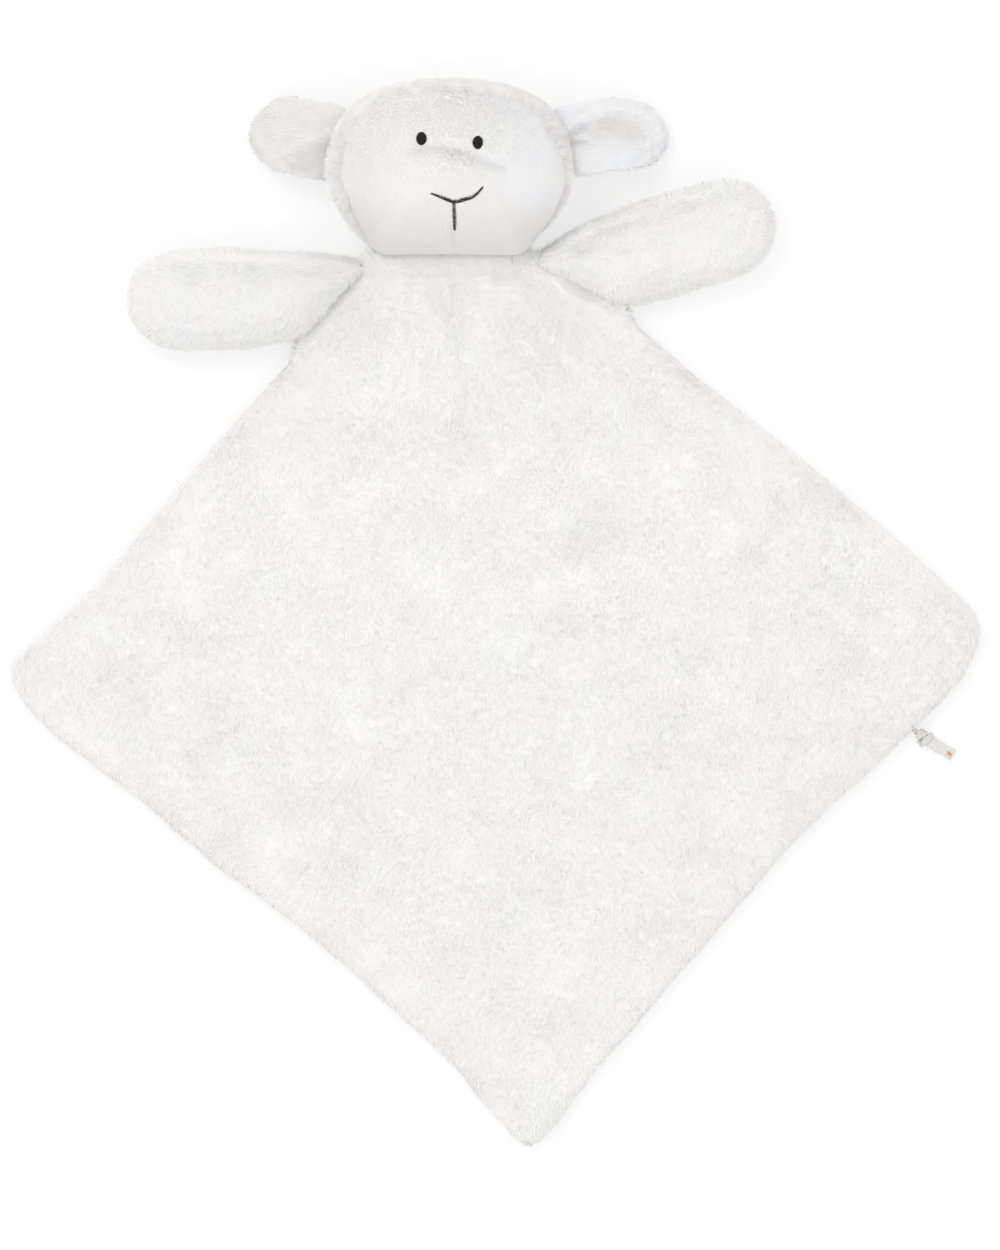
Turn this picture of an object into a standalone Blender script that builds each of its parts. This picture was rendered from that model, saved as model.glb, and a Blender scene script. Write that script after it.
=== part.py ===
"""A plush lamb comforter lying face up: a flat two-layer blanket with a stuffed head,
two stuffed arms, two ears and a knotted ribbon sewn into its edge.

The origin is the middle of the blanket's underside. +Y runs up to the head, +Z out of the face.
"""

import math

import bmesh
import bpy
from mathutils import Vector
from mathutils.bvhtree import BVHTree

# Blanket, in metres
blanket_width = 0.3934
blanket_length = 0.3570
layer_thickness = 0.0038
piece_gap = 0.0003
neck_width = 0.0588
neck_offset = -0.0182
ripple_height = 0.0016
ripple_spacing = 0.0850
gather_height = 0.0018
gather_reach = 0.0700
gather_spread_degrees = 38.0

# Stuffed pieces
skin_thickness = 0.0016
settle_share = 1.06

# Head
head_width = 0.0984
head_height = 0.0719
head_middle = 0.0250
face_height = 0.0490
muzzle_height = 0.0085
muzzle_width = 0.0170
muzzle_depth = 0.0115
muzzle_offset = 0.0020
muzzle_share = 0.44
cheek_rise = 0.0300

# Arms
arm_length = 0.0855
arm_width = 0.0416
arm_middle = 0.0120
arm_thickness = 0.0255
arm_taper = 0.0230
arm_seam = 0.0395
neck_to_arm = 0.0018
left_shoulder_degrees = 229.0
right_shoulder_degrees = 333.0
left_arm_degrees = 179.0
right_arm_degrees = 18.2

# Ears
ear_length = 0.0400
ear_width = 0.0318
ear_layer = 0.0024
ear_level = 0.0220
ear_cup = 0.0026
ear_tip_clearance = 0.0002
left_ear_degrees = 172.0
right_ear_degrees = 6.0

# Embroidery
eye_width = 0.0041
eye_height = 0.0052
eye_thickness = 0.0011
eye_spacing = 0.0225
eye_share = 0.655
eye_offset = 0.0001
eye_tilt = 0.0016
eye_columns = 12
eye_rows = 6
thread_radius = 0.0006
mouth_width = 0.0192
mouth_drop = 0.0104
mouth_share = 0.305
mouth_offset = 0.0018
stitch_splits = 3

# Ribbon tag
ribbon_width = 0.0050
ribbon_thickness = 0.0006
ribbon_root = 0.0028
ribbon_tail = 0.0085
ribbon_degrees = -32.0
cord_radius = 0.00075
knot_size = 0.0011
knot_rise = 0.00098
knot_mouth_share = 0.10
knot_steps = 36
ribbon_corners = 8

# Places round the blanket's edge, anticlockwise from the left shoulder to the right one,
# as shares of its half width and its half length from its middle
left_side_shares = ((-0.641, 0.504), (-0.803, 0.291), (-0.946, 0.145))
left_corner_shares = ((-0.994, 0.091), (-0.978, 0.024), (-0.905, -0.068))
lower_left_shares = ((-0.702, -0.236), (-0.559, -0.375), (-0.397, -0.505), (-0.214, -0.684))
bottom_corner_shares = ((-0.092, -0.807), (-0.006, -0.924), (0.071, -1.0), (0.136, -0.935))
lower_right_shares = ((0.214, -0.818), (0.417, -0.561), (0.600, -0.325), (0.763, -0.157))
right_corner_shares = ((0.854, -0.057), (0.950, 0.049), (0.998, 0.168), (0.946, 0.253))
right_side_shares = ((0.783, 0.414), (0.600, 0.582), (0.417, 0.739))
ribbon_span_shares = ((0.763, -0.157), (0.950, 0.049))
ribbon_tail_shares = (0.35, 0.7, 1.0)

# A layer of cloth from its top middle to its bottom middle: the share of the way out to the edge,
# and the share of the layer's thickness above its inner face
front_layer_shares = (
    (0.0, 1.0),
    (0.2, 1.0),
    (0.4, 1.0),
    (0.6, 1.0),
    (0.78, 1.0),
    (0.9, 1.0),
    (0.97, 1.0),
    (0.99, 0.72),
    (1.0, 0.0),
    (0.9, 0.0),
    (0.6, 0.0),
    (0.0, 0.0),
)
back_layer_shares = (
    (0.0, 0.0),
    (0.6, 0.0),
    (0.9, 0.0),
    (1.0, 0.0),
    (0.99, -0.72),
    (0.97, -1.0),
    (0.6, -1.0),
    (0.0, -1.0),
)
ear_layer_shares = (
    (0.0, 1.0),
    (0.45, 1.0),
    (0.82, 0.94),
    (0.95, 0.62),
    (1.0, 0.0),
    (0.82, 0.0),
    (0.6, 0.0),
    (0.3, 0.0),
    (0.0, 0.0),
)
ripple_fade_share = 0.25

# The right half of the head's outline from chin to crown, as shares of its half width and height.
# The neck's corner lies before the first of these.
cheek_shares = (
    (0.690, 0.083),
    (0.810, 0.183),
    (0.935, 0.310),
    (0.996, 0.420),
    (0.985, 0.560),
    (0.925, 0.710),
    (0.815, 0.845),
    (0.660, 0.915),
    (0.480, 0.963),
    (0.240, 0.992),
)
head_centre_share = 0.50
head_spine_share = 0.20
face_seam_degrees = 28.0
chin_seam_degrees = 6.0
chin_share = 0.36
head_rows = 16
face_seam_row = 5

# An arm's outline from the neck side round its tip, as shares of its length and half width
arm_shares = (
    (0.12, 0.93),
    (0.35, 1.00),
    (0.60, 1.02),
    (0.80, 0.97),
    (0.91, 0.78),
    (0.975, 0.48),
    (1.00, 0.10),
    (0.985, -0.30),
    (0.935, -0.65),
    (0.84, -0.90),
    (0.68, -0.97),
    (0.48, -0.93),
    (0.28, -0.86),
)
arm_spine_shares = (0.32, 0.72)
arm_rows = 10

# An ear's outline from the crown side round its tip, as shares of its length and half width.
# Its base follows the head's outline.
ear_shares = (
    (0.18, 1.00),
    (0.46, 1.01),
    (0.72, 0.97),
    (0.90, 0.74),
    (0.99, 0.32),
    (0.99, -0.22),
    (0.90, -0.66),
    (0.73, -0.92),
    (0.48, -1.00),
    (0.22, -0.99),
)
ear_base_shares = (0.420, 0.845)
ear_middle_share = 0.5

# The mouth's two strokes, as shares of its width and drop from where they meet
lip_shares = (
    (-0.52, 0.38),
    (-0.31, 0.22),
    (-0.15, 0.09),
    (0.00, 0.00),
    (0.18, 0.07),
    (0.40, 0.20),
    (0.49, 0.33),
    (0.59, 0.61),
)
stem_shares = ((0.00, -0.16), (0.01, -0.55), (0.02, -1.00))
stitch_section_shares = ((-1, 0), (0, 0), (1, 0), (0.7, 0.7), (0, 1), (-0.7, 0.7))

# Worked out from the sizes above
seam_level = layer_thickness + piece_gap / 2
half_width = blanket_width / 2
neck_y = blanket_length / 2
head_base_y = neck_y + piece_gap


def turned(degrees):
    """Unit vector on the table at an angle from +X."""
    return Vector((math.cos(math.radians(degrees)), math.sin(math.radians(degrees)), 0))


def smooth_step(share):
    share = min(max(share, 0), 1)
    return share * share * (3 - 2 * share)


def half_turned(direction):
    """The direction a quarter turn anticlockwise on the table."""
    return Vector((-direction.y, direction.x, 0))


def anticlockwise(ring):
    area = sum(a.x * b.y - a.y * b.x for a, b in zip(ring, ring[1:] + ring[:1]))
    return ring if area > 0 else ring[::-1]


def rounded_ring(points, straight):
    """The closed ring with a point added in the middle of each span: on the smooth curve through
    the ring's points, or halfway along the span where its number is in straight."""
    ring = []
    count = len(points)
    for number in range(count):
        before, start, end, after = (points[(number + step) % count] for step in (-1, 0, 1, 2))
        middle = (start + end) / 2
        if number not in straight:
            middle += (start + end - before - after) / 16
        ring += [start, middle]
    return ring


# Materials and nodes


def fabric(name, colour, roughness):
    material = bpy.data.materials.new(name)
    material.use_nodes = True
    shader = material.node_tree.nodes["Principled BSDF"]
    shader.inputs["Base Color"].default_value = (*colour, 1)
    shader.inputs["Roughness"].default_value = roughness
    shader.inputs["Metallic"].default_value = 0
    material.diffuse_color = (*colour, 1)
    return material


def make_node(name, mesh, material, parent, collection):
    """Adds the mesh, which is in world coordinates, as a node under its joint's empty."""
    node = bpy.data.objects.new(name, mesh)
    collection.objects.link(node)
    mesh.materials.append(material)
    mesh.shade_smooth()
    mesh.set_sharp_from_angle(angle=math.radians(50))
    if parent:
        mesh.transform(parent.matrix_world.inverted())
        node.parent = parent
    return node


def make_joint(name, place, parent, collection):
    """An empty on a joint's axis, which carries the pieces that turn there."""
    joint = bpy.data.objects.new(name, None)
    joint.empty_display_size = layer_thickness
    collection.objects.link(joint)
    joint.parent = parent
    joint.location = place - (parent.matrix_world.translation if parent else Vector())
    bpy.context.view_layer.update()
    return joint


def mesh_from(bm, name):
    mesh = bpy.data.meshes.new(name)
    bm.to_mesh(mesh)
    bm.free()
    return mesh


# Shapes drawn out of a ball


def ball_part(columns, rows, place, keep=None):
    """A ball of columns and rows, or the faces of it that keep picks, with each point moved to
    place(column, row). Column 0 faces +Y on the ball, and row 0 is its top. Its squares are cut
    the same way each time, so that forms drawn in from one another keep their distance."""
    bm = bmesh.new()
    bmesh.ops.create_uvsphere(bm, u_segments=columns, v_segments=rows, radius=1)
    bmesh.ops.triangulate(bm, faces=bm.faces)
    if keep:
        spare = [face for face in bm.faces if not keep(face.calc_center_median())]
        bmesh.ops.delete(bm, geom=spare, context="FACES")
        bm.verts.index_update()
    for vert in bm.verts:
        turn = math.atan2(-vert.co.x, vert.co.y) / math.tau
        row = round(math.acos(max(-1, min(1, vert.co.z))) / math.pi * rows)
        vert.co = place(round(turn * columns) % columns, row)
    return bm


def cloth_layer(ring, centre, surface, levels):
    """A closed layer of cloth over the ring's outline. levels holds, from the top middle to the
    bottom middle, the share of the way out and the height above surface(point, share)."""

    def place(column, row):
        share, lift = levels[row]
        point = centre.lerp(ring[column], share)
        point.z = surface(point, share) + lift
        return point

    return ball_part(len(ring), len(levels) - 1, place)


class StuffedForm:
    """A stuffed shape over a flat outline. It swells from the outline's edge to its crown over
    the spine, and lies on the table underneath."""

    def __init__(self, ring, spine, edge_level, crown, rows, seam_row, seam_degrees, swell):
        self.ring = ring
        self.spine = spine
        self.edge_level = edge_level
        self.crown = crown
        self.rows = rows
        self.seam_row = seam_row
        self.seam_degrees = seam_degrees
        self.swell = swell

    def latitude(self, edge, row):
        """Rows spread evenly above and below the seam, which lies at its own latitude."""
        seam = self.seam_degrees(edge)
        if row <= self.seam_row:
            degrees = 90 - (90 - seam) * row / self.seam_row
        else:
            degrees = seam - (90 + seam) * (row - self.seam_row) / (self.rows - self.seam_row)
        return math.radians(degrees)

    def core(self, edge):
        """The spine's nearest point to one on the edge."""
        start, end = self.spine
        along = end - start
        share = (edge - start).dot(along) / along.length_squared
        return start + along * min(max(share, 0), 1)

    def place(self, column, row, inset):
        """A point of the form drawn in by inset all round."""
        if row in (0, self.rows):
            edge = core = (self.spine[0] + self.spine[1]) / 2
            angle = math.radians(90 if row == 0 else -90)
        else:
            edge = self.ring[column]
            core = self.core(edge)
            angle = self.latitude(edge, row)
        outward = edge - core
        out = math.cos(angle)
        rise = math.sin(angle)
        skin = core.lerp(edge, out)
        point = skin - (outward.normalized() * inset * out)
        level = self.edge_level(edge)
        if rise >= 0:
            point.z = level + (self.crown - inset - level) * rise + self.swell(skin) * rise
        else:
            point.z = max(level + (level - inset) * settle_share * rise, inset)
        return point

    def stuffing(self):
        inset = skin_thickness + 2 * piece_gap
        return ball_part(len(self.ring), self.rows, lambda c, r: self.place(c, r, inset))

    def panel(self, keep):
        """A skin over the faces that keep picks, its edges held back from the seam."""
        count = len(self.ring)
        bm = ball_part(count, self.rows, lambda c, r: self.place(c, r, 0), keep)
        inner = ball_part(count, self.rows, lambda c, r: self.place(c, r, skin_thickness), keep)
        outer_faces = list(bm.faces)
        outer_verts = list(bm.verts)
        drawn_back = {}
        for vert in outer_verts:
            if vert.is_boundary:
                middle = sum((f.calc_center_median() for f in vert.link_faces), Vector())
                inward = middle / len(vert.link_faces) - vert.co
                drawn_back[vert.index] = inward.normalized() * piece_gap
        inner.verts.ensure_lookup_table()
        lining = [bm.verts.new(vert.co) for vert in inner.verts]
        for index, shift in drawn_back.items():
            outer_verts[index].co += shift
            lining[index].co += shift
        rim = [edge for edge in bm.edges if edge.is_boundary]
        for edge in rim:
            loop = edge.link_loops[0]
            start, end = loop.vert, loop.link_loop_next.vert
            inner_start, inner_end = lining[start.index], lining[end.index]
            # Two panels that meet at a seam cut the squares of their rims the same way
            if start.co.x < end.co.x:
                bm.faces.new((end, start, inner_start))
                bm.faces.new((end, inner_start, inner_end))
            else:
                bm.faces.new((end, start, inner_end))
                bm.faces.new((start, inner_start, inner_end))
        for face in outer_faces:
            bm.faces.new([lining[vert.index] for vert in reversed(face.verts)])
        inner.free()
        return bm


def above_row(form):
    limit = math.cos(math.pi * form.seam_row / form.rows)
    return lambda centre: centre.z > limit


def below_row(form):
    limit = math.cos(math.pi * form.seam_row / form.rows)
    return lambda centre: centre.z < limit


def no_swell(point):
    return 0


def level_seam(edge):
    return 0


# The blanket


def blanket_point(shares):
    return Vector((shares[0] * half_width, shares[1] * neck_y, 0))


neck_left = Vector((neck_offset - neck_width / 2, neck_y, 0))
neck_right = Vector((neck_offset + neck_width / 2, neck_y, 0))
neck_centre = (neck_left + neck_right) / 2
left_shoulder = neck_left + turned(left_shoulder_degrees) * (neck_to_arm + arm_seam)
right_shoulder = neck_right + turned(right_shoulder_degrees) * (neck_to_arm + arm_seam)


def blanket_ring():
    traced = left_side_shares + left_corner_shares + lower_left_shares + bottom_corner_shares
    traced += lower_right_shares + right_corner_shares + right_side_shares
    points = [neck_left, left_shoulder, *(blanket_point(shares) for shares in traced)]
    points += [right_shoulder, neck_right, neck_centre]
    last = len(points) - 1
    return rounded_ring(points, straight=(0, last - 2, last - 1, last))


def ripple(point, share):
    """How far the front layer stands off the back one: broad ripples all over, and gathers
    that fan out from the neck, all lying flat at the edge."""
    across = math.tau * (point.x + point.y / 2) / ripple_spacing
    along = math.tau * (point.y - point.x / 2) / ripple_spacing
    broad = ripple_height * (1 + math.sin(across) * math.cos(along)) / 2
    from_neck = point - neck_centre
    angle = math.degrees(math.atan2(from_neck.x, -from_neck.y))
    nearness = 1 - smooth_step(from_neck.length / gather_reach)
    turns = math.tau * angle / gather_spread_degrees
    gather = gather_height * nearness * (1 + math.cos(turns)) / 2
    return (broad + gather) * smooth_step((1 - share) / ripple_fade_share)


def thick_levels(shares, thickness):
    """The heights of a layer whose inner face keeps half the gap to the seam's level."""
    above = 1 if max(height for _, height in shares) > 0 else -1
    return [(share, above * piece_gap / 2 + height * thickness) for share, height in shares]


def make_blanket(plush, collection):
    ring = blanket_ring()
    middle = Vector()
    front = cloth_layer(
        ring,
        middle,
        lambda point, share: seam_level + ripple(point, share),
        thick_levels(front_layer_shares, layer_thickness),
    )
    back = cloth_layer(
        ring,
        middle,
        lambda point, share: seam_level,
        thick_levels(back_layer_shares, layer_thickness),
    )
    for name, bm in (("blanket_front_panel", front), ("blanket_back_panel", back)):
        make_node(name, mesh_from(bm, name), plush, None, collection)


# The head


def head_point(width_share, height_share):
    across = width_share * head_width / 2
    return Vector((neck_offset + across, head_base_y + height_share * head_height, 0))


def head_ring():
    """Anticlockwise from the middle of the chin, with the crown opposite it."""
    corner_share = neck_width / head_width
    right = [(corner_share / 2, 0), (corner_share, 0), *cheek_shares]
    left = [(-across, up) for across, up in reversed(right)]
    return [head_point(*shares) for shares in [(0, 0), *right, (0, 1), *left]]


def head_height_share(point):
    return (point.y - head_base_y) / head_height


def head_edge_level(edge):
    rise = smooth_step((edge.y - head_base_y) / cheek_rise)
    return seam_level + (head_middle - seam_level) * rise


def muzzle_swell(point):
    across = (point.x - neck_offset - muzzle_offset) / muzzle_width
    up = (point.y - head_base_y - muzzle_share * head_height) / muzzle_depth
    return muzzle_height * math.exp(-(across**2) - up**2)


def face_seam(edge):
    """The face's seam runs round its front, and drops to the neck under the chin."""
    rise = smooth_step(head_height_share(edge) / chin_share)
    return chin_seam_degrees + (face_seam_degrees - chin_seam_degrees) * rise


def head_form():
    spine = [head_point(side * head_spine_share, head_centre_share) for side in (-1, 1)]
    return StuffedForm(
        head_ring(),
        spine,
        head_edge_level,
        face_height,
        head_rows,
        face_seam_row,
        face_seam,
        muzzle_swell,
    )


def make_head(form, materials, joint, collection):
    below = below_row(form)
    pieces = {
        "head_face_panel": (form.panel(above_row(form)), "velour"),
        "head_back_right": (form.panel(lambda c: below(c) and c.x < 0), "plush"),
        "head_back_left": (form.panel(lambda c: below(c) and c.x > 0), "plush"),
        "head_stuffing": (form.stuffing(), "stuffing"),
    }
    for name, (bm, slot) in pieces.items():
        make_node(name, mesh_from(bm, name), materials[slot], joint, collection)


# The embroidered face


def face_finder(form):
    """A function that gives the place on the face over a point, and its normal there."""
    bm = ball_part(len(form.ring), form.rows, lambda c, r: form.place(c, r, 0))
    tree = BVHTree.FromBMesh(bm)
    bm.free()
    start_height = Vector((0, 0, face_height + head_height))

    def find(point):
        place, normal, _, _ = tree.ray_cast(point + start_height, Vector((0, 0, -1)))
        return place, normal

    return find


def make_eye(name, across, find, material, joint, collection):
    """A low oval dome of satin stitch that follows the face under it."""
    up = eye_share * head_height - math.copysign(eye_tilt / 2, across)
    middle = Vector((neck_offset + across, head_base_y + up, 0))

    def place(column, row):
        turn = math.tau * column / eye_columns
        angle = math.pi * row / eye_rows
        out = Vector((math.cos(turn) * eye_width / 2, math.sin(turn) * eye_height / 2, 0))
        under, normal = find(middle + out * math.sin(angle))
        return under + normal * (piece_gap + eye_thickness * max(math.cos(angle), 0))

    bm = ball_part(eye_columns, eye_rows, place)
    make_node(name, mesh_from(bm, name), material, joint, collection)


def split_line(points, splits):
    """The line through the points with each span cut into equal splits."""
    line = [a.lerp(b, step / splits) for a, b in zip(points, points[1:]) for step in range(splits)]
    return [*line, points[-1]]


def make_mouth(find, material, joint, collection):
    """Two raised stitches, rounded on top, whose undersides follow the face."""
    meeting = Vector((neck_offset + mouth_offset, head_base_y + mouth_share * head_height, 0))
    for name, shares in (("mouth_lip_stitch", lip_shares), ("mouth_stem_stitch", stem_shares)):
        corners = [Vector((across * mouth_width, up * mouth_drop, 0)) for across, up in shares]
        line = [meeting + offset for offset in split_line(corners, stitch_splits)]
        rings = []
        for number, middle in enumerate(line):
            before = line[max(number - 1, 0)]
            after = line[min(number + 1, len(line) - 1)]
            side = half_turned((after - before).normalized())
            ring = []
            for across, up in stitch_section_shares:
                under, normal = find(middle + side * across * thread_radius)
                ring.append(under + normal * (piece_gap + up * thread_radius * 2))
            rings.append(ring)
        make_node(name, mesh_from(skinned(rings), name), material, joint, collection)


def skinned(rings):
    """A closed skin over a row of rings, from one flat end to the other."""
    bm = bmesh.new()
    rows = [[bm.verts.new(point) for point in ring] for ring in rings]
    count = len(rows[0])
    for first, second in zip(rows, rows[1:]):
        for corner in range(count):
            after = (corner + 1) % count
            bm.faces.new((first[corner], first[after], second[after], second[corner]))
    bm.faces.new(rows[0][::-1])
    bm.faces.new(rows[-1])
    bmesh.ops.triangulate(bm, faces=bm.faces)
    bmesh.ops.recalc_face_normals(bm, faces=bm.faces)
    return bm


# The arms


def arm_form(neck_end, outer_end, degrees):
    """An arm whose root lies along the shoulder seam from neck_end to outer_end."""
    along = turned(degrees)
    across = half_turned(along)
    if across.dot(neck_end - outer_end) < 0:
        across = -across
    seam = (outer_end - neck_end).normalized()
    outward = half_turned(seam)
    if outward.dot(along) < 0:
        outward = -outward
    root = (neck_end + outer_end) / 2 + outward * piece_gap

    def at(length_share, width_share):
        return root + along * length_share * arm_length + across * width_share * arm_width / 2

    ring = [neck_end + outward * piece_gap, *(at(*shares) for shares in arm_shares)]
    ring += [outer_end + outward * piece_gap, root]

    def edge_level(edge):
        rise = smooth_step((edge - root).dot(outward) / arm_taper)
        return seam_level + (arm_middle - seam_level) * rise

    spine = [at(share, 0) for share in arm_spine_shares]
    return StuffedForm(
        anticlockwise(ring),
        spine,
        edge_level,
        arm_thickness,
        arm_rows,
        arm_rows // 2,
        level_seam,
        no_swell,
    )


def make_arm(side, neck_end, shoulder, degrees, materials, collection):
    seam = (shoulder - neck_end).normalized()
    seam_start = neck_end + seam * neck_to_arm
    form = arm_form(seam_start, shoulder, degrees)
    inward = half_turned(seam) if half_turned(seam).dot(turned(degrees)) < 0 else -half_turned(seam)
    place = (seam_start + shoulder) / 2 + inward * layer_thickness
    joint = make_joint(side + "_arm_seam", place + Vector((0, 0, seam_level)), None, collection)
    pieces = {
        "_arm_front": (form.panel(above_row(form)), "plush"),
        "_arm_back": (form.panel(below_row(form)), "plush"),
        "_arm_stuffing": (form.stuffing(), "stuffing"),
    }
    for ending, (bm, slot) in pieces.items():
        name = side + ending
        make_node(name, mesh_from(bm, name), materials[slot], joint, collection)


# The ears


def ear_base(side):
    """The stretch of the head's outline that an ear is sewn to, from the cheek to the crown."""
    low, high = ear_base_shares
    return [head_point(side * out, up) for out, up in cheek_shares if low <= up <= high]


def make_ear(name, side, degrees, materials, head_joint, collection):
    seam = ear_base(side)
    across = (seam[-1] - seam[0]).normalized()
    outward = half_turned(across) * -side
    bulge = max((point - seam[0]).dot(outward) for point in seam)
    clear_of_head = outward * (bulge + ear_layer + 2 * piece_gap)
    base = (seam[0] + seam[-1]) / 2 + clear_of_head
    along = turned(degrees)
    half = ear_width / 2
    drop = ear_level - ear_layer - piece_gap / 2 - ear_tip_clearance
    reach = math.sqrt(ear_length**2 - drop**2)

    def at(length_share, width_share):
        return base + along * length_share * reach + across * width_share * half

    ring = [at(*shares) for shares in ear_shares]
    ring += [point + outward * 2 * piece_gap for point in seam]
    ring = anticlockwise(ring)
    centre = at(ear_middle_share, 0)

    def surface(point, share):
        out = (point - base).dot(outward) / reach
        from_middle = (point - base).dot(across) / half
        cup = ear_cup * smooth_step(out) * (1 - smooth_step(out)) * 4 * from_middle**2
        return ear_level - drop * min(max(out, 0), 1) + cup

    joint = make_joint(name + "_seam", base + Vector((0, 0, ear_level)), head_joint, collection)
    front_levels = thick_levels(ear_layer_shares, ear_layer)
    for ending, upward, slot in (("_front", 1, "velour"), ("_back", -1, "plush")):
        levels = [(share, upward * lift) for share, lift in front_levels]
        bm = cloth_layer(ring, centre, surface, levels)
        if upward < 0:
            bmesh.ops.reverse_faces(bm, faces=bm.faces)
        make_node(name + ending, mesh_from(bm, name), materials[slot], joint, collection)


# The ribbon tag


def knot_curve(steps):
    """An overhand knot lying flat, entered from -X and left towards +X, in units of its size."""
    points = []
    for step in range(steps + 1):
        turn = math.pi * (1 + knot_mouth_share) + step / steps * math.tau * (1 - knot_mouth_share)
        points.append(
            (
                -math.sin(turn) - 2 * math.sin(2 * turn),
                math.cos(turn) - 2 * math.cos(2 * turn),
                -math.sin(3 * turn),
            )
        )
    return points


def ribbon_line(start, along, rest_level):
    """The ribbon's middle line with its half widths and half thicknesses."""
    across = half_turned(along)
    knot_radius = 3 * knot_size
    centre = start + along * (ribbon_root + knot_radius) + across * knot_radius
    flat = (ribbon_width / 2, ribbon_thickness / 2)
    round_cord = (cord_radius, cord_radius)
    line = [(start, flat), (start.lerp(centre - across * knot_radius, 1 / 4), flat)]
    for x, y, z in knot_curve(knot_steps):
        point = centre + (along * x + across * y) * knot_size
        point.z = rest_level + knot_rise + z * knot_rise
        line.append((point, round_cord))
    end = line[-1][0]
    for share in ribbon_tail_shares:
        point = end + along * ribbon_tail * share
        point.z = end.z + (rest_level - end.z) * smooth_step(share)
        line.append((point, flat))
    return line


def ribbon_rings(line):
    """Oval sections square to the ribbon's line."""
    rings = []
    for number, (point, (half, thick)) in enumerate(line):
        before = line[max(number - 1, 0)][0]
        after = line[min(number + 1, len(line) - 1)][0]
        forward = (after - before).normalized()
        side = forward.cross(Vector((0, 0, 1))).normalized()
        up = side.cross(forward)
        angles = [math.tau * (corner + 1 / 2) / ribbon_corners for corner in range(ribbon_corners)]
        rings.append(
            [point + side * math.cos(a) * half + up * math.sin(a) * thick for a in angles]
        )
    return rings


def make_ribbon(material, collection):
    low, high = (blanket_point(shares) for shares in ribbon_span_shares)
    edge = (high - low).normalized()
    outward = -half_turned(edge)
    along = turned(ribbon_degrees)
    sewn = min(blanket_ring(), key=lambda point: (point - (low + high) / 2).length)
    corner_reach = ribbon_width / 2 * abs(along.dot(edge))
    start = sewn + outward * (piece_gap + corner_reach)
    joint_place = sewn - outward * layer_thickness
    joint = make_joint("ribbon_seam", joint_place + Vector((0, 0, seam_level)), None, collection)
    start.z = seam_level
    bm = skinned(ribbon_rings(ribbon_line(start, along, cord_radius + piece_gap)))
    make_node("ribbon_tag", mesh_from(bm, "ribbon_tag"), material, joint, collection)


def main():
    for old in list(bpy.data.objects):
        bpy.data.objects.remove(old)
    collection = bpy.data.collections.new("lamb_comforter")
    bpy.context.scene.collection.children.link(collection)
    materials = {
        "plush": fabric("plush_pile", (0.90, 0.89, 0.87), 0.95),
        "velour": fabric("face_velour", (0.86, 0.85, 0.84), 0.90),
        "stuffing": fabric("fibre_stuffing", (0.93, 0.93, 0.93), 1.0),
        "thread": fabric("black_thread", (0.012, 0.010, 0.010), 0.45),
        "ribbon": fabric("white_ribbon", (0.88, 0.87, 0.85), 0.60),
    }
    make_blanket(materials["plush"], collection)
    hinge = Vector((neck_offset, neck_y - layer_thickness, seam_level))
    head_joint = make_joint("neck_seam", hinge, None, collection)
    form = head_form()
    make_head(form, materials, head_joint, collection)
    find = face_finder(form)
    for name, side in (("left_eye", -1), ("right_eye", 1)):
        across = eye_offset + side * eye_spacing / 2
        make_eye(name, across, find, materials["thread"], head_joint, collection)
    make_mouth(find, materials["thread"], head_joint, collection)
    make_ear("left_ear", -1, left_ear_degrees, materials, head_joint, collection)
    make_ear("right_ear", 1, right_ear_degrees, materials, head_joint, collection)
    make_arm("left", neck_left, left_shoulder, left_arm_degrees, materials, collection)
    make_arm("right", neck_right, right_shoulder, right_arm_degrees, materials, collection)
    make_ribbon(materials["ribbon"], collection)


main()
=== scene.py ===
"""The looks of a plush lamb comforter that lies face up on a pale table: brushed pile on the
blanket, arms, ears and the back of the head, a short velour face, embroidery and a ribbon tag.

All sizes are in metres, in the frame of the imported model: +Y runs up to the head, +Z out of the face.
"""

import math

import bmesh
import bpy
import numpy as np
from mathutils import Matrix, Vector, noise
from mathutils.bvhtree import BVHTree
from mathutils.kdtree import KDTree


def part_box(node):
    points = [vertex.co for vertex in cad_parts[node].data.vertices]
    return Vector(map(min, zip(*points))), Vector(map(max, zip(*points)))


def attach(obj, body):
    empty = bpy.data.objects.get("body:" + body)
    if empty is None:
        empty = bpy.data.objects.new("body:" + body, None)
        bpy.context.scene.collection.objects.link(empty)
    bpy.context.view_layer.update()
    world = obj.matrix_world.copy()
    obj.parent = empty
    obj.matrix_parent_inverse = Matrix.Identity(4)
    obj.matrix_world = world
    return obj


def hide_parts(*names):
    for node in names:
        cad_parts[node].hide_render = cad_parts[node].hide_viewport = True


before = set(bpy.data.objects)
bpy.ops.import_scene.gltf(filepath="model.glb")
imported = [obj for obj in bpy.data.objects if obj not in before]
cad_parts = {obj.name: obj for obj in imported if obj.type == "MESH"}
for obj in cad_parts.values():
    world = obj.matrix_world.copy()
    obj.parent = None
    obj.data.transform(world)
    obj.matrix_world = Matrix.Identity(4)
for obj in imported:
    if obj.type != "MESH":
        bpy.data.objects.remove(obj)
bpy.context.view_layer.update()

MM = 0.001
UP = Vector((0, 0, 1))

# Camera
picture_middle = Vector((2.0 * MM, 31.9 * MM, 0))
picture_height = 500 * MM
camera_height = 16.0
camera_clip = (0.1, 60)
sensor_size = 36.0

# Table and light. Each lamp has a name, a place, a diameter and a power
table_size = 12
table_level = -0.6 * MM
table_glow = 0.70
room_light = 0.945
lamps = (
    ("window_lamp", (-0.8, 1.1, 1.9), 0.9, 11.5),
    ("fill_lamp", (0.5, -1.5, 2.0), 1.8, 6.5),
)

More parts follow.
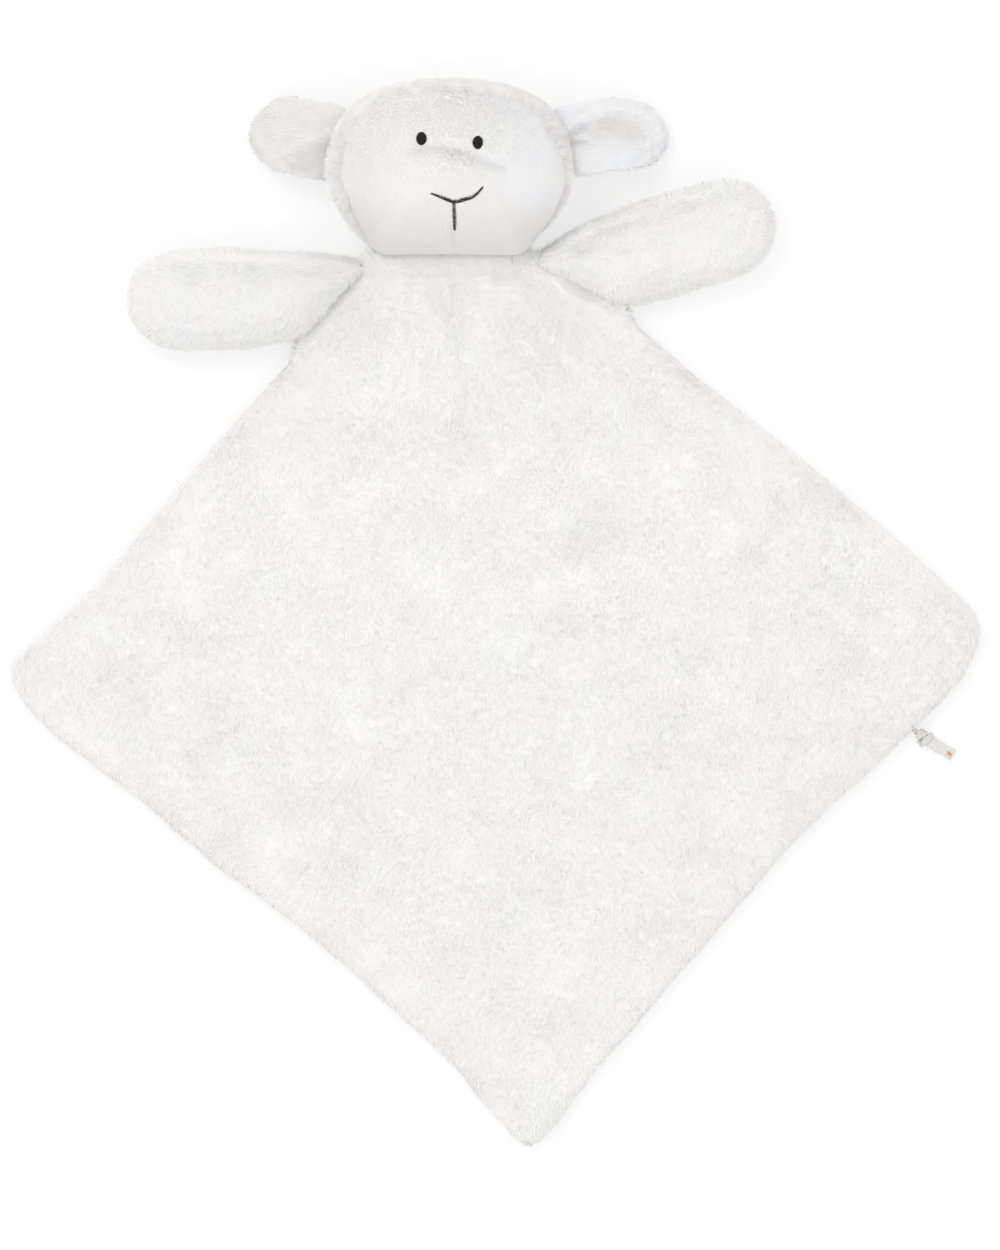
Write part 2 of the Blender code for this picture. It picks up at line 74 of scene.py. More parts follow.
# Colours. A pair runs from its first colour to its second
plush_tones = ((0.965, 0.960, 0.950), (0.955, 0.959, 0.966))
plush_root_tone = (0.93, 0.923, 0.912)
# The grey that the pile turns towards with painted shade, and with a darker tone
plush_painted_shade_tone = (0.80, 0.79, 0.775)
plush_knit_tones = ((0.92, 0.915, 0.905), (0.945, 0.94, 0.935))
velour_tones = ((0.935, 0.929, 0.920), (0.925, 0.926, 0.932))
velour_knit_tones = ((0.915, 0.908, 0.897), (0.940, 0.936, 0.930))
# The grey that the velour turns towards with painted shade
velour_painted_shade_tone = (0.74, 0.718, 0.692)
# Painted light: the velour is tinted warmer on its left and cooler on its right
velour_painted_light_tints = ((1.0, 0.988, 0.968), (0.988, 0.990, 1.0))
stuffing_tones = ((0.86, 0.86, 0.86), (0.93, 0.93, 0.93))
satin_tones = ((0.004, 0.003, 0.003), (0.016, 0.007, 0.006))
peach_tones = ((0.80, 0.58, 0.42), (0.88, 0.72, 0.58))
brown_tones = ((0.24, 0.15, 0.11), (0.42, 0.28, 0.21))
ribbon_tones = ((0.84, 0.82, 0.79), (0.93, 0.92, 0.91))
ribbon_gap_tone = (0.76, 0.75, 0.73)
paper_tones = ((0.86, 0.86, 0.86), (0.87, 0.87, 0.87))
paper_seen_tone = (0.30, 0.30, 0.30)

# Where a noise pattern runs from one colour to the other, and where the velour's painted warm and cool
# light does
fine_span = (0.3, 0.7)
broad_span = (0.35, 0.65)
satin_span = (0.35, 0.7)
painted_light_span = (-45 * MM, 15 * MM)

# Kinds of pile: a lock's width, length and bend, then locks per square metre, spread, lock size,
# lock strength, variation of length, and evenness of shading
long_pile = ((0.42 * MM, 3.3 * MM, 0.30), 6.0e6, 0.24, 3.0 * MM, 0.8, 0.22, 0.92)
back_pile = ((0.60 * MM, 3.3 * MM, 0.30), 3.0e6, 0.30, 3.2 * MM, 0.9, 0.22, 0.9)
ear_pile = ((0.40 * MM, 2.2 * MM, 0.30), 5.0e6, 0.28, 2.4 * MM, 0.8, 0.25, 0.8)
ear_nap = ((0.36 * MM, 1.8 * MM, 0.30), 7.0e6, 0.36, 2.2 * MM, 1.0, 0.3, 0.75)
arm_pile = ((0.42 * MM, 3.4 * MM, 0.30), 6.5e6, 0.30, 2.6 * MM, 0.7, 0.30, 0.88)
head_pile = ((0.42 * MM, 3.4 * MM, 0.30), 6.5e6, 0.32, 2.6 * MM, 1.2, 0.35, 0.75)
velour_nap = ((0.32 * MM, 0.8 * MM, 0.30), 9.0e6, 0.2, 2.5 * MM, 0.4, 0.2, 0.85)
combed = ("lay", "out", "behind", "pile_density", "pile_length")
blade_lift = 1.5

# How far the pile lies over, the part of it that stays on steep sides and at the head's seams,
# how far it turns down on steep sides, and the seeds of its fibres
leans = {"blanket": 2.2, "nap": 0.7, "head": 1.2, "arm": 1.8, "ear_front": 1.8, "ear_back": 0.9}
least_steadied = 0.3
seam_lean = 0.1
droops = {"blanket": 0.4, "head": 0.25, "arm": 0.3, "ear": 0.3}
pile_seeds = {"blanket": 11, "nap": 31, "head": 33, "arm": 41, "ear": 51}

# The pile's length beside its kind's, and what is added to it or taken off in some places
pile_lengths = {"blanket": 0.95, "head": 0.85, "arm": 1.05}
length_over_seam = 0.35
length_at_neck = 0.6
length_below_chin = 0.35
length_off_crown = 0.3
length_off_level_arm = 0.25

# Unevenness: layers of noise, each with its strength, the size of its features and its seed
unevenness = {
    "rim": ((0.5 * MM, 11 * MM, 6),),
    "folds": ((0.55 * MM, 34 * MM, 1), (0.35 * MM, 13 * MM, 2)),
    "blanket_lay": ((0.88, 36 * MM, 3), (0.55, 13 * MM, 4)),
    "crushed_lay": ((1.2, 7 * MM, 6),),
    "blanket_length": ((0.12, 25 * MM, 9),),
    "blanket_lean": ((0.4, 18 * MM, 5),),
    "blanket_mottling": ((0.14, 20 * MM, 31), (0.12, 9 * MM, 32)),
    "stuffing": ((0.4 * MM, 6 * MM, 4),),
    "nap_lay": ((0.25, 14 * MM, 5),),
    "head_lay_x": ((0.4, 9 * MM, 7),),
    "head_lay_y": ((0.4, 9 * MM, 8),),
    "head_length": ((0.12, 12 * MM, 9),),
    "head_tufts": ((0.5, 3.5 * MM, 10),),
    "arm_skin": ((0.7 * MM, 15 * MM, 12), (0.3 * MM, 6 * MM, 13)),
    "arm_lay_x": ((0.5, 14 * MM, 14),),
    "arm_lay_y": ((0.5, 10 * MM, 15),),
    "arm_length": ((0.15, 12 * MM, 16),),
    "ear_lay": ((0.4, 8 * MM, 21),),
}

# Blanket: the outline's rays and points, the rows of its sheets, and how far they stand off
sheet_middle = Vector((0, 0, 0))
rim_rays = 1440
rim_columns = 420
rim_level = 0.2 * MM
rim_roll = 8 * MM
rim_shares = (0.75, 0.55, 0.38, 0.24, 0.12, 0.04, 0.0)
sheet_rows = 46
row_spacing = 0.9
lining_shares = (0.995, 0.6, 0.3)
front_stand = 1.4 * MM
back_stand = 1.0 * MM
edge_stand = 1.9 * MM
usual_height = 3.8 * MM
least_height = 1.2 * MM
height_smoothing = 14
outline_smoothing = 4
shoulder_rise = 1.6 * MM
shoulder_reach = 9 * MM
neck_line = 171 * MM
# How much darker the blanket's pile is made all over, before its mottling
usual_blanket_darkening = 0.28

# What is sewn to the blanket's edge, and the edge's overlap there
sewn_nodes = (
    "left_arm_front",
    "right_arm_front",
    "head_face_panel",
    "head_back_left",
    "head_back_right",
)
sewn_overlap = 1.6 * MM
sewn_gap = 1.5 * MM
edge_reach = 8 * MM
lay_reach = 6 * MM

# Soft valleys and ridges in the blanket: a path in millimetres, its width and its height
blanket_strokes = (
    (((-50, 177.5), (-34, 178.6), (-18, 178.8), (-2, 178.6), (14, 177.5)), 6.0, 4.6),
    (((-17, 176), (-16, 150), (-10, 114)), 4.0, -1.5),
    (((-8, 176), (-3, 160), (4, 140)), 3.2, 0.7),
    (((4, 172), (26, 146), (46, 122)), 4.5, -1.2),
    (((-34, 170), (-42, 150), (-48, 122)), 3.6, -0.9),
    (((-52, 158), (-70, 134), (-96, 104)), 4.0, -0.5),
    (((62, 118), (100, 86), (150, 40), (182, 12)), 4.5, 0.6),
    (((56, 108), (98, 74), (144, 34), (172, 8)), 4.0, -0.6),
    (((-176, 18), (-150, 22), (-122, 40), (-96, 70)), 7.0, -0.7),
    (((-170, 6), (-120, -34), (-76, -74), (-40, -108), (0, -150)), 6.0, -0.6),
    (((-8, -120), (18, -126), (40, -112)), 6.0, 0.5),
    (((46, -100), (86, -58), (124, -22), (156, 4)), 7.0, -0.5),
)
crushed_path = ((70, 116), (110, 84), (150, 46), (184, 14))
crushed_width = 13 * MM

# Stuffed forms
skin_thickness = 0.8 * MM
pile_room = 1.4 * MM
nap_room = 0.6 * MM
usual_room = 2.2 * MM
longest_room = 9 * MM
panel_stand = 1.4 * MM
seam_groove = 0.25 * MM
head_groove_width = 1.5 * MM
arm_groove_width = 1.6 * MM
arm_groove_share = 0.4
head_smoothing = 40
arm_smoothing = 10
arm_rounding = 6
stuffing_slack = 0.6 * MM
arm_root_level = 8.8 * MM
arm_root_reach = 12 * MM
arm_shifts = {"left": -1.8 * MM, "right": 1.2 * MM}
arm_shift_reach = 30 * MM
head_middle = np.array([-18.2, 214, 20]) * MM
chin_line = 181 * MM
crown_line = 226 * MM

# Painted shade: how dark the pile of the head and the arms is made, and the velour in each of its
# shaded places
head_shade = 0.42
arm_shade = 0.1
face_shades = {"chin": 0.42, "sides": 0.1, "left_cheek": 0.24, "muzzle": 0.2}

# The face: strokes are paths in millimetres with a width and a height, and swells are middles in
# millimetres with radii and a rise
lip_left = ((-25.4, 204.1), (-22.3, 203.0), (-19.4, 201.8), (-16.4, 200.7))
lip_right = ((-13.0, 201.4), (-8.7, 202.7), (-7.0, 204.1), (-4.9, 206.5))
lip_path = lip_left + lip_right
stem_path = ((-16.4, 200.3), (-16.2, 195.0), (-16.0, 189.9))
crease_left = ((-38, 220), (-30, 222.3), (-20.6, 222.7), (-13, 221.2))
crease_right = ((-6, 218.4), (1, 215.2), (9, 213.0))
face_strokes = (
    (crease_left + crease_right, 2.9, -1.6),
    (((-37, 219), (-39, 212), (-36, 205)), 4.0, -0.5),
    (lip_path, 1.6, -0.5),
    (stem_path, 1.4, -0.6),
    (((-16.1, 194), (-16.2, 184), (-16.6, 175)), 1.1, -1.5),
)
face_swells = (
    ((-17.0, 214.0), (13.0, 5.5), 1.0),
    ((-22.5, 187.0), (5.0, 7.0), 0.5),
    ((-9.5, 187.0), (5.0, 7.0), 0.5),
)

# Ears: where their roots lie in millimetres, the way into the head, their folds, and the painted shade
# in the folds and over each ear
ear_roots = {"left": (-68.0, 225.8, 22.0), "right": (31.6, 225.8, 22.0)}
ear_inward = {"left": (0.960, -0.280, 0), "right": (-0.960, -0.280, 0)}
ear_root_step = 5.0 * MM
ear_root_reach = 12 * MM
ear_slimming = 0.5 * MM
ear_fold_depth = 3.0 * MM
ear_fold_shade = 0.3
ear_shade = {"left": 0.33, "right": 0.05}
ear_strokes = {
    "left": (
        (((-90, 218), (-82, 223), (-76, 226.5), (-64, 230)), 2.4, 1.8),
        (((-84, 213), (-74, 218), (-66, 223), (-58, 226)), 4.6, -2.6),
        (((-76, 210), (-69, 213), (-60, 215)), 2.6, -1.8),
        (((-94, 226), (-88, 236), (-74, 240)), 5.0, 0.8),
    ),
    "right": (
        (((28, 227), (40, 230), (50, 230), (60, 224)), 4.2, -2.6),
        (((24, 225), (33, 231), (38, 236)), 2.0, 2.0),
        (((36, 236), (50, 239), (64, 233), (66, 224)), 3.2, 1.6),
        (((34, 219), (46, 218.5), (58, 220)), 3.2, 1.6),
        (((26, 221), (34, 225.2), (40, 225.6)), 1.2, -1.6),
    ),
}

# Eyes: satin threads across an oval. The ends are tucked in, and each thread slants a little
eye_threads = 15
eye_fullness = (1.16, 1.0)
eye_drop = 0.8 * MM
eye_crown = 0.75 * MM
eye_tuck = 0.25 * MM
eye_slant = 0.12
eye_thread_share = 0.62

# Mouth: short stitches across two lines, each with the share of its width that its ends keep
mouth_lines = (
    ("mouth_lip", "mouth_lip_stitch", lip_path, 0.45),
    ("mouth_stem", "mouth_stem_stitch", stem_path, 0.8),
)
mouth_samples = 30
mouth_thread = 2.3 * MM
mouth_crown = 0.42 * MM
mouth_tuck = 0.1 * MM
stitch_pitch = 0.3 * MM
stitch_slant = 0.45
stitch_share = 0.75
stitch_taper = 0.35

# Ribbon, in millimetres and radians. A wave across it has a strength, a pitch and a drift along it.
# Each turn of the knot has a name, a coil, a width and a crumple. The coil is its middle, bearing,
# radii, turns, drift along its axis, start and number of points
ribbon_columns = 14
ribbon_half = 0.07
ribbon_waves = ((1.0, 5.2, 0.35), (0.6, 11, -0.6))
ribbon_heading = math.radians(-38)
root_path = ((163.5, -6.2, 3.6), (166.8, -9.6, 3.4), (169.0, -11.2, 2.8))
root_side = (math.sin(0.6), math.cos(0.6), 0.35)
root_widths = [2.6, 2.5, 2.4] + [2.0] * 11
root_crumple = 0.28
core_path = ((168.4, -10.6, 2.6), (171.2, -12.8, 2.6), (174.4, -15.2, 2.4))
core_radius = 1.35
turn_coil = ((170.4, -12.0, 2.5), ribbon_heading, (2.3, 1.7), 1.15, 0.9, 0.6, 30)
loop_coil = ((172.4, -13.9, 2.4), ribbon_heading - 0.25, (3.4, 1.5), 1.05, 0.8, 2.4, 34)
knot_turns = (
    ("ribbon_knot_turn", turn_coil, 2.6, 0.2),
    ("ribbon_knot_loop", loop_coil, 2.4, 0.22),
)
tail_path = ((170.5, -12.4, 2.6), (174.0, -14.8, 2.7), (178.4, -17.4, 1.7), (183.0, -20.0, 1.3))
tail_side = (math.sin(0.53), math.cos(0.53), 0.12)
tail_widths = [2.6 + 2.2 * min(step / 8, 1) for step in range(26)]
tail_crumple = 0.2
fray_threads = 22
fray_seeds = (61, 62, 63)
fray_half_width = 2.3
fray_radius = 0.07
fray_tuck = 0.3
fray_reach = 0.9
fray_stray = 0.7
fray_lift = 0.25
fleck_lines = (
    ((180.2, -19.0, 1.75), (181.2, -20.4, 1.75), (181.6, -21.6, 1.6)),
    ((180.8, -18.6, 1.75), (181.9, -19.8, 1.75), (182.2, -21.0, 1.6)),
    ((181.2, -18.9, 2.1), (181.9, -19.5, 2.1), (182.4, -20.2, 1.95)),
)
fleck_radius = 0.3
fleck_knot_radius = 0.24
loose_points = 6


# Tools for meshes


def rows_of(data, key, width=3):
    """What a mesh's collection holds under a key, as rows of numbers."""
    flat = np.empty(len(data) * width, np.float32)
    data.foreach_get(key, flat)
    return flat.reshape(-1, width).astype(float)


def coordinates(mesh):
    return rows_of(mesh.vertices, "co")


def vertex_normals(mesh):
    return rows_of(mesh.vertex_normals, "vector")


def move_to(mesh, places):
    mesh.vertices.foreach_set("co", places.astype(np.float32).ravel())
    mesh.update()


def mark(mesh, name, values):
    """Stores a number or a vector at each vertex."""
    values = np.asarray(values, np.float32)
    kind, key = ("FLOAT_VECTOR", "vector") if values.ndim == 2 else ("FLOAT", "value")
    attribute = mesh.attributes.get(name) or mesh.attributes.new(name, kind, "POINT")
    attribute.data.foreach_set(key, values.ravel())


def marked(mesh, name):
    """The numbers or the vectors stored at the vertices."""
    attribute = mesh.attributes[name]
    if attribute.data_type == "FLOAT_VECTOR":
        return rows_of(attribute.data, "vector")
    return rows_of(attribute.data, "value", 1)[:, 0]


def unit(vectors):
    return vectors / np.maximum(np.linalg.norm(vectors, axis=-1, keepdims=True), 1e-12)


def smooth_step(share):
    share = np.clip(share, 0, 1)
    return share * share * (3 - 2 * share)


def ramp(values, start, width):
    """Rises smoothly from 0 at the start to 1 a width further on, which may be backwards."""
    return smooth_step((values - start) / width)


def bell(distance, width):
    return np.exp(-((distance / width) ** 2))


def noise_field(places, size, seed):
    """Smooth noise from about -1 to 1 at each place, with features of the size given."""
    shift = Vector((17.3 * seed, -9.1 * seed, 5.7 * seed))
    return np.array([noise.noise(Vector(p) / size + shift) for p in places])


def uneven(places, kind):
    """The sum of a kind's layers of noise at each place."""
    return sum(strength * noise_field(places, *layer) for strength, *layer in unevenness[kind])


def new_object(name, data):
    obj = bpy.data.objects.new(name, data)
    bpy.context.scene.collection.objects.link(obj)
    return obj


def surface_of(*nodes):
    """A tree of the nodes' faces, for casting rays at."""
    places = []
    faces = []
    for node in nodes:
        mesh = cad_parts[node].data
        base = len(places)
        places += [v.co.copy() for v in mesh.vertices]
        faces += [[base + i for i in p.vertices] for p in mesh.polygons]
    return BVHTree.FromPolygons(places, faces)


def skinned(name, places, faces):
    """A smooth closed mesh whose faces point outwards."""
    mesh = bpy.data.meshes.new(name)
    mesh.from_pydata([tuple(p) for p in places], [], faces)
    mesh.validate()
    bm = bmesh.new()
    bm.from_mesh(mesh)
    bmesh.ops.recalc_face_normals(bm, faces=bm.faces)
    bm.to_mesh(mesh)
    bm.free()
    mesh.shade_smooth()
    return mesh


def ring_faces(rows, count, base=0):
    """Faces between rings of equally many points, from the first ring to the last."""
    faces = []
    for row in range(rows - 1):
        for column in range(count):
            here = base + row * count + column
            after = base + row * count + (column + 1) % count
            faces.append((here, after, after + count, here + count))
    return faces


def grid_mesh(name, rows, first_pole, last_pole):
    """Rows of equally many points, skinned as rings, with a point that closes each end."""
    places = [p for row in rows for p in row]
    count = len(rows[0])
    faces = ring_faces(len(rows), count)
    for pole, row, order in ((first_pole, 0, -1), (last_pole, len(rows) - 1, 1)):
        places.append(pole)
        tip = len(places) - 1
        for column in range(count):
            corner = [tip, row * count + column, row * count + (column + 1) % count]
            faces.append(corner[::order])
    return skinned(name, places, faces)


def finished(obj):
    """The object with its evaluated mesh in place of its modifiers."""
    bpy.context.view_layer.update()
    evaluated = obj.evaluated_get(bpy.context.evaluated_depsgraph_get())
    mesh = bpy.data.meshes.new_from_object(evaluated)
    obj.modifiers.clear()
    obj.data = mesh
    mesh.name = obj.name
    return obj


def dressed(piece, body, slot, *nodes):
    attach(piece, body)
    if nodes:
        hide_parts(*nodes)
    return piece


# Materials


class Nodes:
    """A node tree, with short ways to add nodes and to feed their sockets."""

    def __init__(self, tree):
        self.tree = tree

    def feed(self, socket, value):
        """Gives a socket a value or a colour, or links another node's output to it."""
        if isinstance(value, bpy.types.NodeSocket):
            self.tree.links.new(value, socket)
        elif socket.type == "RGBA":
            socket.default_value = (*value, 1)
        else:
            socket.default_value = value

    def node(self, kind, sockets=None, **settings):
        made = self.tree.nodes.new(kind)
        for key, value in settings.items():
            setattr(made, key, value)
        for socket, value in (sockets or {}).items():
            self.feed(made.inputs[socket], value)
        return made

    def arithmetic(self, operation, first, second):
        return self.node("ShaderNodeMath", {0: first, 1: second}, operation=operation).outputs["Value"]

    def vectors(self, operation, first, second):
        sockets = {0: first, "Scale" if operation == "SCALE" else 1: second}
        return self.node("ShaderNodeVectorMath", sockets, operation=operation).outputs["Vector"]


class Finish(Nodes):
    """A material whose Principled shader is fed by a few nodes."""

    def __init__(self, name, roughness, **sockets):
        self.material = bpy.data.materials.new(name)
        self.material.use_nodes = True
        super().__init__(self.material.node_tree)
        self.shader = self.tree.nodes["Principled BSDF"]
        for socket, value in {"Roughness": roughness, "Metallic": 0, **sockets}.items():
            self.feed(self.shader.inputs[socket.replace("_", " ")], value)

    def place(self):
        return self.node("ShaderNodeTexCoord").outputs["Object"]

    def noise(self, size, detail=2.0, stretch=(1, 1, 1)):
        """A noise pattern with features of a real size, on Object coordinates."""
        mapping = self.node("ShaderNodeMapping", {"Scale": stretch, "Vector": self.place()})
        sockets = {"Scale": 1 / size, "Detail": detail, "Vector": mapping.outputs["Vector"]}
        return self.node("ShaderNodeTexNoise", sockets).outputs["Fac"]

    def share(self, value, low, high):
        """The value's way from low to high, from 0 to 1."""
        sockets = {"Value": value, "From Min": low, "From Max": high}
        return self.node("ShaderNodeMapRange", sockets).outputs["Result"]

    def mixed(self, share, first, second, how="MIX"):
        """From the first colour to the second. Each is a colour or an output."""
        made = self.node("ShaderNodeMix", data_type="RGBA", blend_type=how)
        self.feed(made.inputs["Factor"], share)
        for socket, value in zip([s for s in made.inputs if s.type == "RGBA"], (first, second)):
            self.feed(socket, value)
        return next(s for s in made.outputs if s.type == "RGBA")

    def varied(self, pattern, span, tones):
        """From the first tone to the second, as the pattern runs over its span."""
        return self.mixed(self.share(pattern, *span), *tones)

    def painted_light_tinted(self, colour):
        """The colour with painted light: a little warmer on the object's left and cooler on its right.
        """
        parts = self.node("ShaderNodeSeparateXYZ", {"Vector": self.place()})
        tint = self.varied(parts.outputs["X"], painted_light_span, velour_painted_light_tints)
        return self.mixed(1.0, colour, tint, "MULTIPLY")

    def attribute(self, name):
        return self.node("ShaderNodeAttribute", attribute_name=name).outputs["Fac"]

    def colour(self, value):
        self.feed(self.shader.inputs["Base Color"], value)

    def bump(self, height, distance, strength):
        sockets = {"Strength": strength, "Distance": distance, "Height": height}
        bumped = self.node("ShaderNodeBump", sockets).outputs["Normal"]
        self.feed(self.shader.inputs["Normal"], bumped)


def plush_fibre():
    """Long white pile: a little deeper and warmer at its roots, with faint warm and cool drifts, and
    greyer where painted shade or a darker tone is marked on its cloth.
    """
    finish = Finish("plush_pile", 0.85, Sheen_Weight=0.15)
    drift = finish.varied(finish.noise(22 * MM), broad_span, plush_tones)
    coat = finish.mixed(finish.attribute("tip_share"), plush_root_tone, drift)
    # Painted shade and a darker tone, as marked on the cloth
    finish.colour(finish.mixed(finish.attribute("hollow"), coat, plush_painted_shade_tone))
    return finish.material


def grained(name, roughness, grain, span, tones, bump, **sockets):
    """A finish whose fine pattern gives its colour and its bump. grain is the pattern's size, detail
    and stretch, and bump its depth and strength."""
    finish = Finish(name, roughness, **sockets)
    pattern = finish.noise(*grain)
    finish.colour(finish.varied(pattern, span, tones))
    finish.bump(pattern, *bump)
    return finish.material


def velour(name, roughness, sheen, grain, span, tones, bump=None):
    """The face's cloth, tinted with painted light warmer on the left and cooler on the right, and
    darkened with painted shade where that is marked on it.
    """
    finish = Finish(name, roughness, Sheen_Weight=sheen)
    pattern = finish.noise(*grain)
    cloth = finish.painted_light_tinted(finish.varied(pattern, span, tones))
    # Painted shade, as marked on the cloth
    finish.colour(finish.mixed(finish.attribute("hollow"), cloth, velour_painted_shade_tone))
    if bump:
        finish.bump(pattern, *bump)
    return finish.material


def ribbon_cloth():
    """A sheer white ribbon: fine crosswise and lengthwise threads, half see-through."""
    finish = Finish("sheer_ribbon", 0.45, Transmission_Weight=0.18, Sheen_Weight=0.2, IOR=1.3)
    threads = finish.noise(0.22 * MM, 1.0, (1, 1, 0.4))
    broad = finish.varied(finish.noise(1.6 * MM, 2.0), broad_span, ribbon_tones)
    finish.colour(finish.varied(threads, fine_span, (ribbon_gap_tone, broad)))
    finish.bump(threads, 0.08 * MM, 0.7)
    return finish.material


def table_paper():
    """A pale table that looks white to the camera and in reflections, and keeps its shadows."""
    finish = Finish("pale_table", 1.0, Specular_IOR_Level=0, Emission_Color=(1, 1, 1))
    paper = finish.mixed(finish.noise(40 * MM, 1.0), *paper_tones)
    path = finish.node("ShaderNodeLightPath").outputs
    seen = finish.arithmetic("MAXIMUM", path["Is Camera Ray"], path["Is Glossy Ray"])
    seen = finish.arithmetic("MAXIMUM", seen, path["Is Transmission Ray"])
    finish.colour(finish.mixed(seen, paper, paper_seen_tone))
    glow = finish.arithmetic("MULTIPLY", seen, table_glow)
    finish.feed(finish.shader.inputs["Emission Strength"], glow)
    return finish.material


def make_finishes():
    spun = (0.6, (0.4 * MM, 1.0), fine_span)
    spun_bump = (0.08 * MM, 0.5)
    return {
        "plush": plush_fibre(),
        "ground": grained(
            "plush_ground", 0.95, (0.8 * MM, 1.0), fine_span, plush_knit_tones, (0.3 * MM, 0.4)
        ),
        "velour": velour("velour_nap", 0.8, 0.2, (16 * MM,), broad_span, velour_tones),
        "velour_ground": velour(
            "velour_ground", 0.9, 0.1, (0.6 * MM,), fine_span, velour_knit_tones, (0.2 * MM, 0.5)
        ),
        "stuffing": grained(
            "loose_fibre",
            1.0,
            (1.5 * MM, 3.0, (1, 3, 1)),
            fine_span,
            stuffing_tones,
            (0.8 * MM, 0.8),
            Sheen_Weight=0.2,
        ),
        "thread": grained(
            "black_satin_thread",
            0.5,
            (0.25 * MM, 1.0, (0.3, 1, 1)),
            satin_span,
            satin_tones,
            (0.05 * MM, 0.5),
            Specular_IOR_Level=0.3,
        ),
        "ribbon": ribbon_cloth(),
        "peach": grained("peach_thread", *spun, peach_tones, spun_bump),
        "brown": grained("brown_thread", *spun, brown_tones, spun_bump),
    }


# Table, light and camera


def make_table():
    bpy.ops.mesh.primitive_plane_add(size=table_size, location=(0, 0, table_level))
    table = bpy.context.object
    table.name = "table"
    table.data.materials.append(table_paper())


def make_light():
    world = bpy.data.worlds.new("soft_room")
    bpy.context.scene.world = world
    world.use_nodes = True
    room = Nodes(world.node_tree)
    background = room.tree.nodes["Background"].inputs
    room.feed(background["Color"], (1, 1, 1))
    seen = room.node("ShaderNodeLightPath").outputs["Is Camera Ray"]
    level = room.node("ShaderNodeMapRange", {"To Min": room_light, "Value": seen})
    room.feed(background["Strength"], level.outputs["Result"])
    for name, place, size, power in lamps:
        lamp = bpy.data.lights.new(name, "AREA")
        lamp.shape = "DISK"
        lamp.size = size
        lamp.energy = power
        obj = new_object(name, lamp)
        obj.location = place
        obj.rotation_mode = "QUATERNION"
        obj.rotation_quaternion = (-Vector(place)).to_track_quat("-Z", "Y")


def make_camera():
    lens = bpy.data.cameras.new("camera")
    lens.sensor_width = sensor_size
    lens.lens = sensor_size * camera_height / picture_height
    lens.clip_start, lens.clip_end = camera_clip
    camera = new_object("camera", lens)
    camera.location = picture_middle + UP * camera_height
    bpy.context.scene.camera = camera
    bpy.context.scene.view_settings.view_transform = "Standard"


# Pile


def fibre(name, width, length, bend):
    """One lock of pile: a narrow, tapering blade that stands up and leans over towards +Y."""
    places = [(-width / 2, 0, 0), (width / 2, 0, 0), (0, length * bend, length)]
    mesh = bpy.data.meshes.new(name)
    mesh.from_pydata(places, [], [(0, 1, 2)])
    mark(mesh, "tip_share", [0.0, 0.0, 1.0])
    mesh.shade_smooth()
    return new_object(name, mesh)


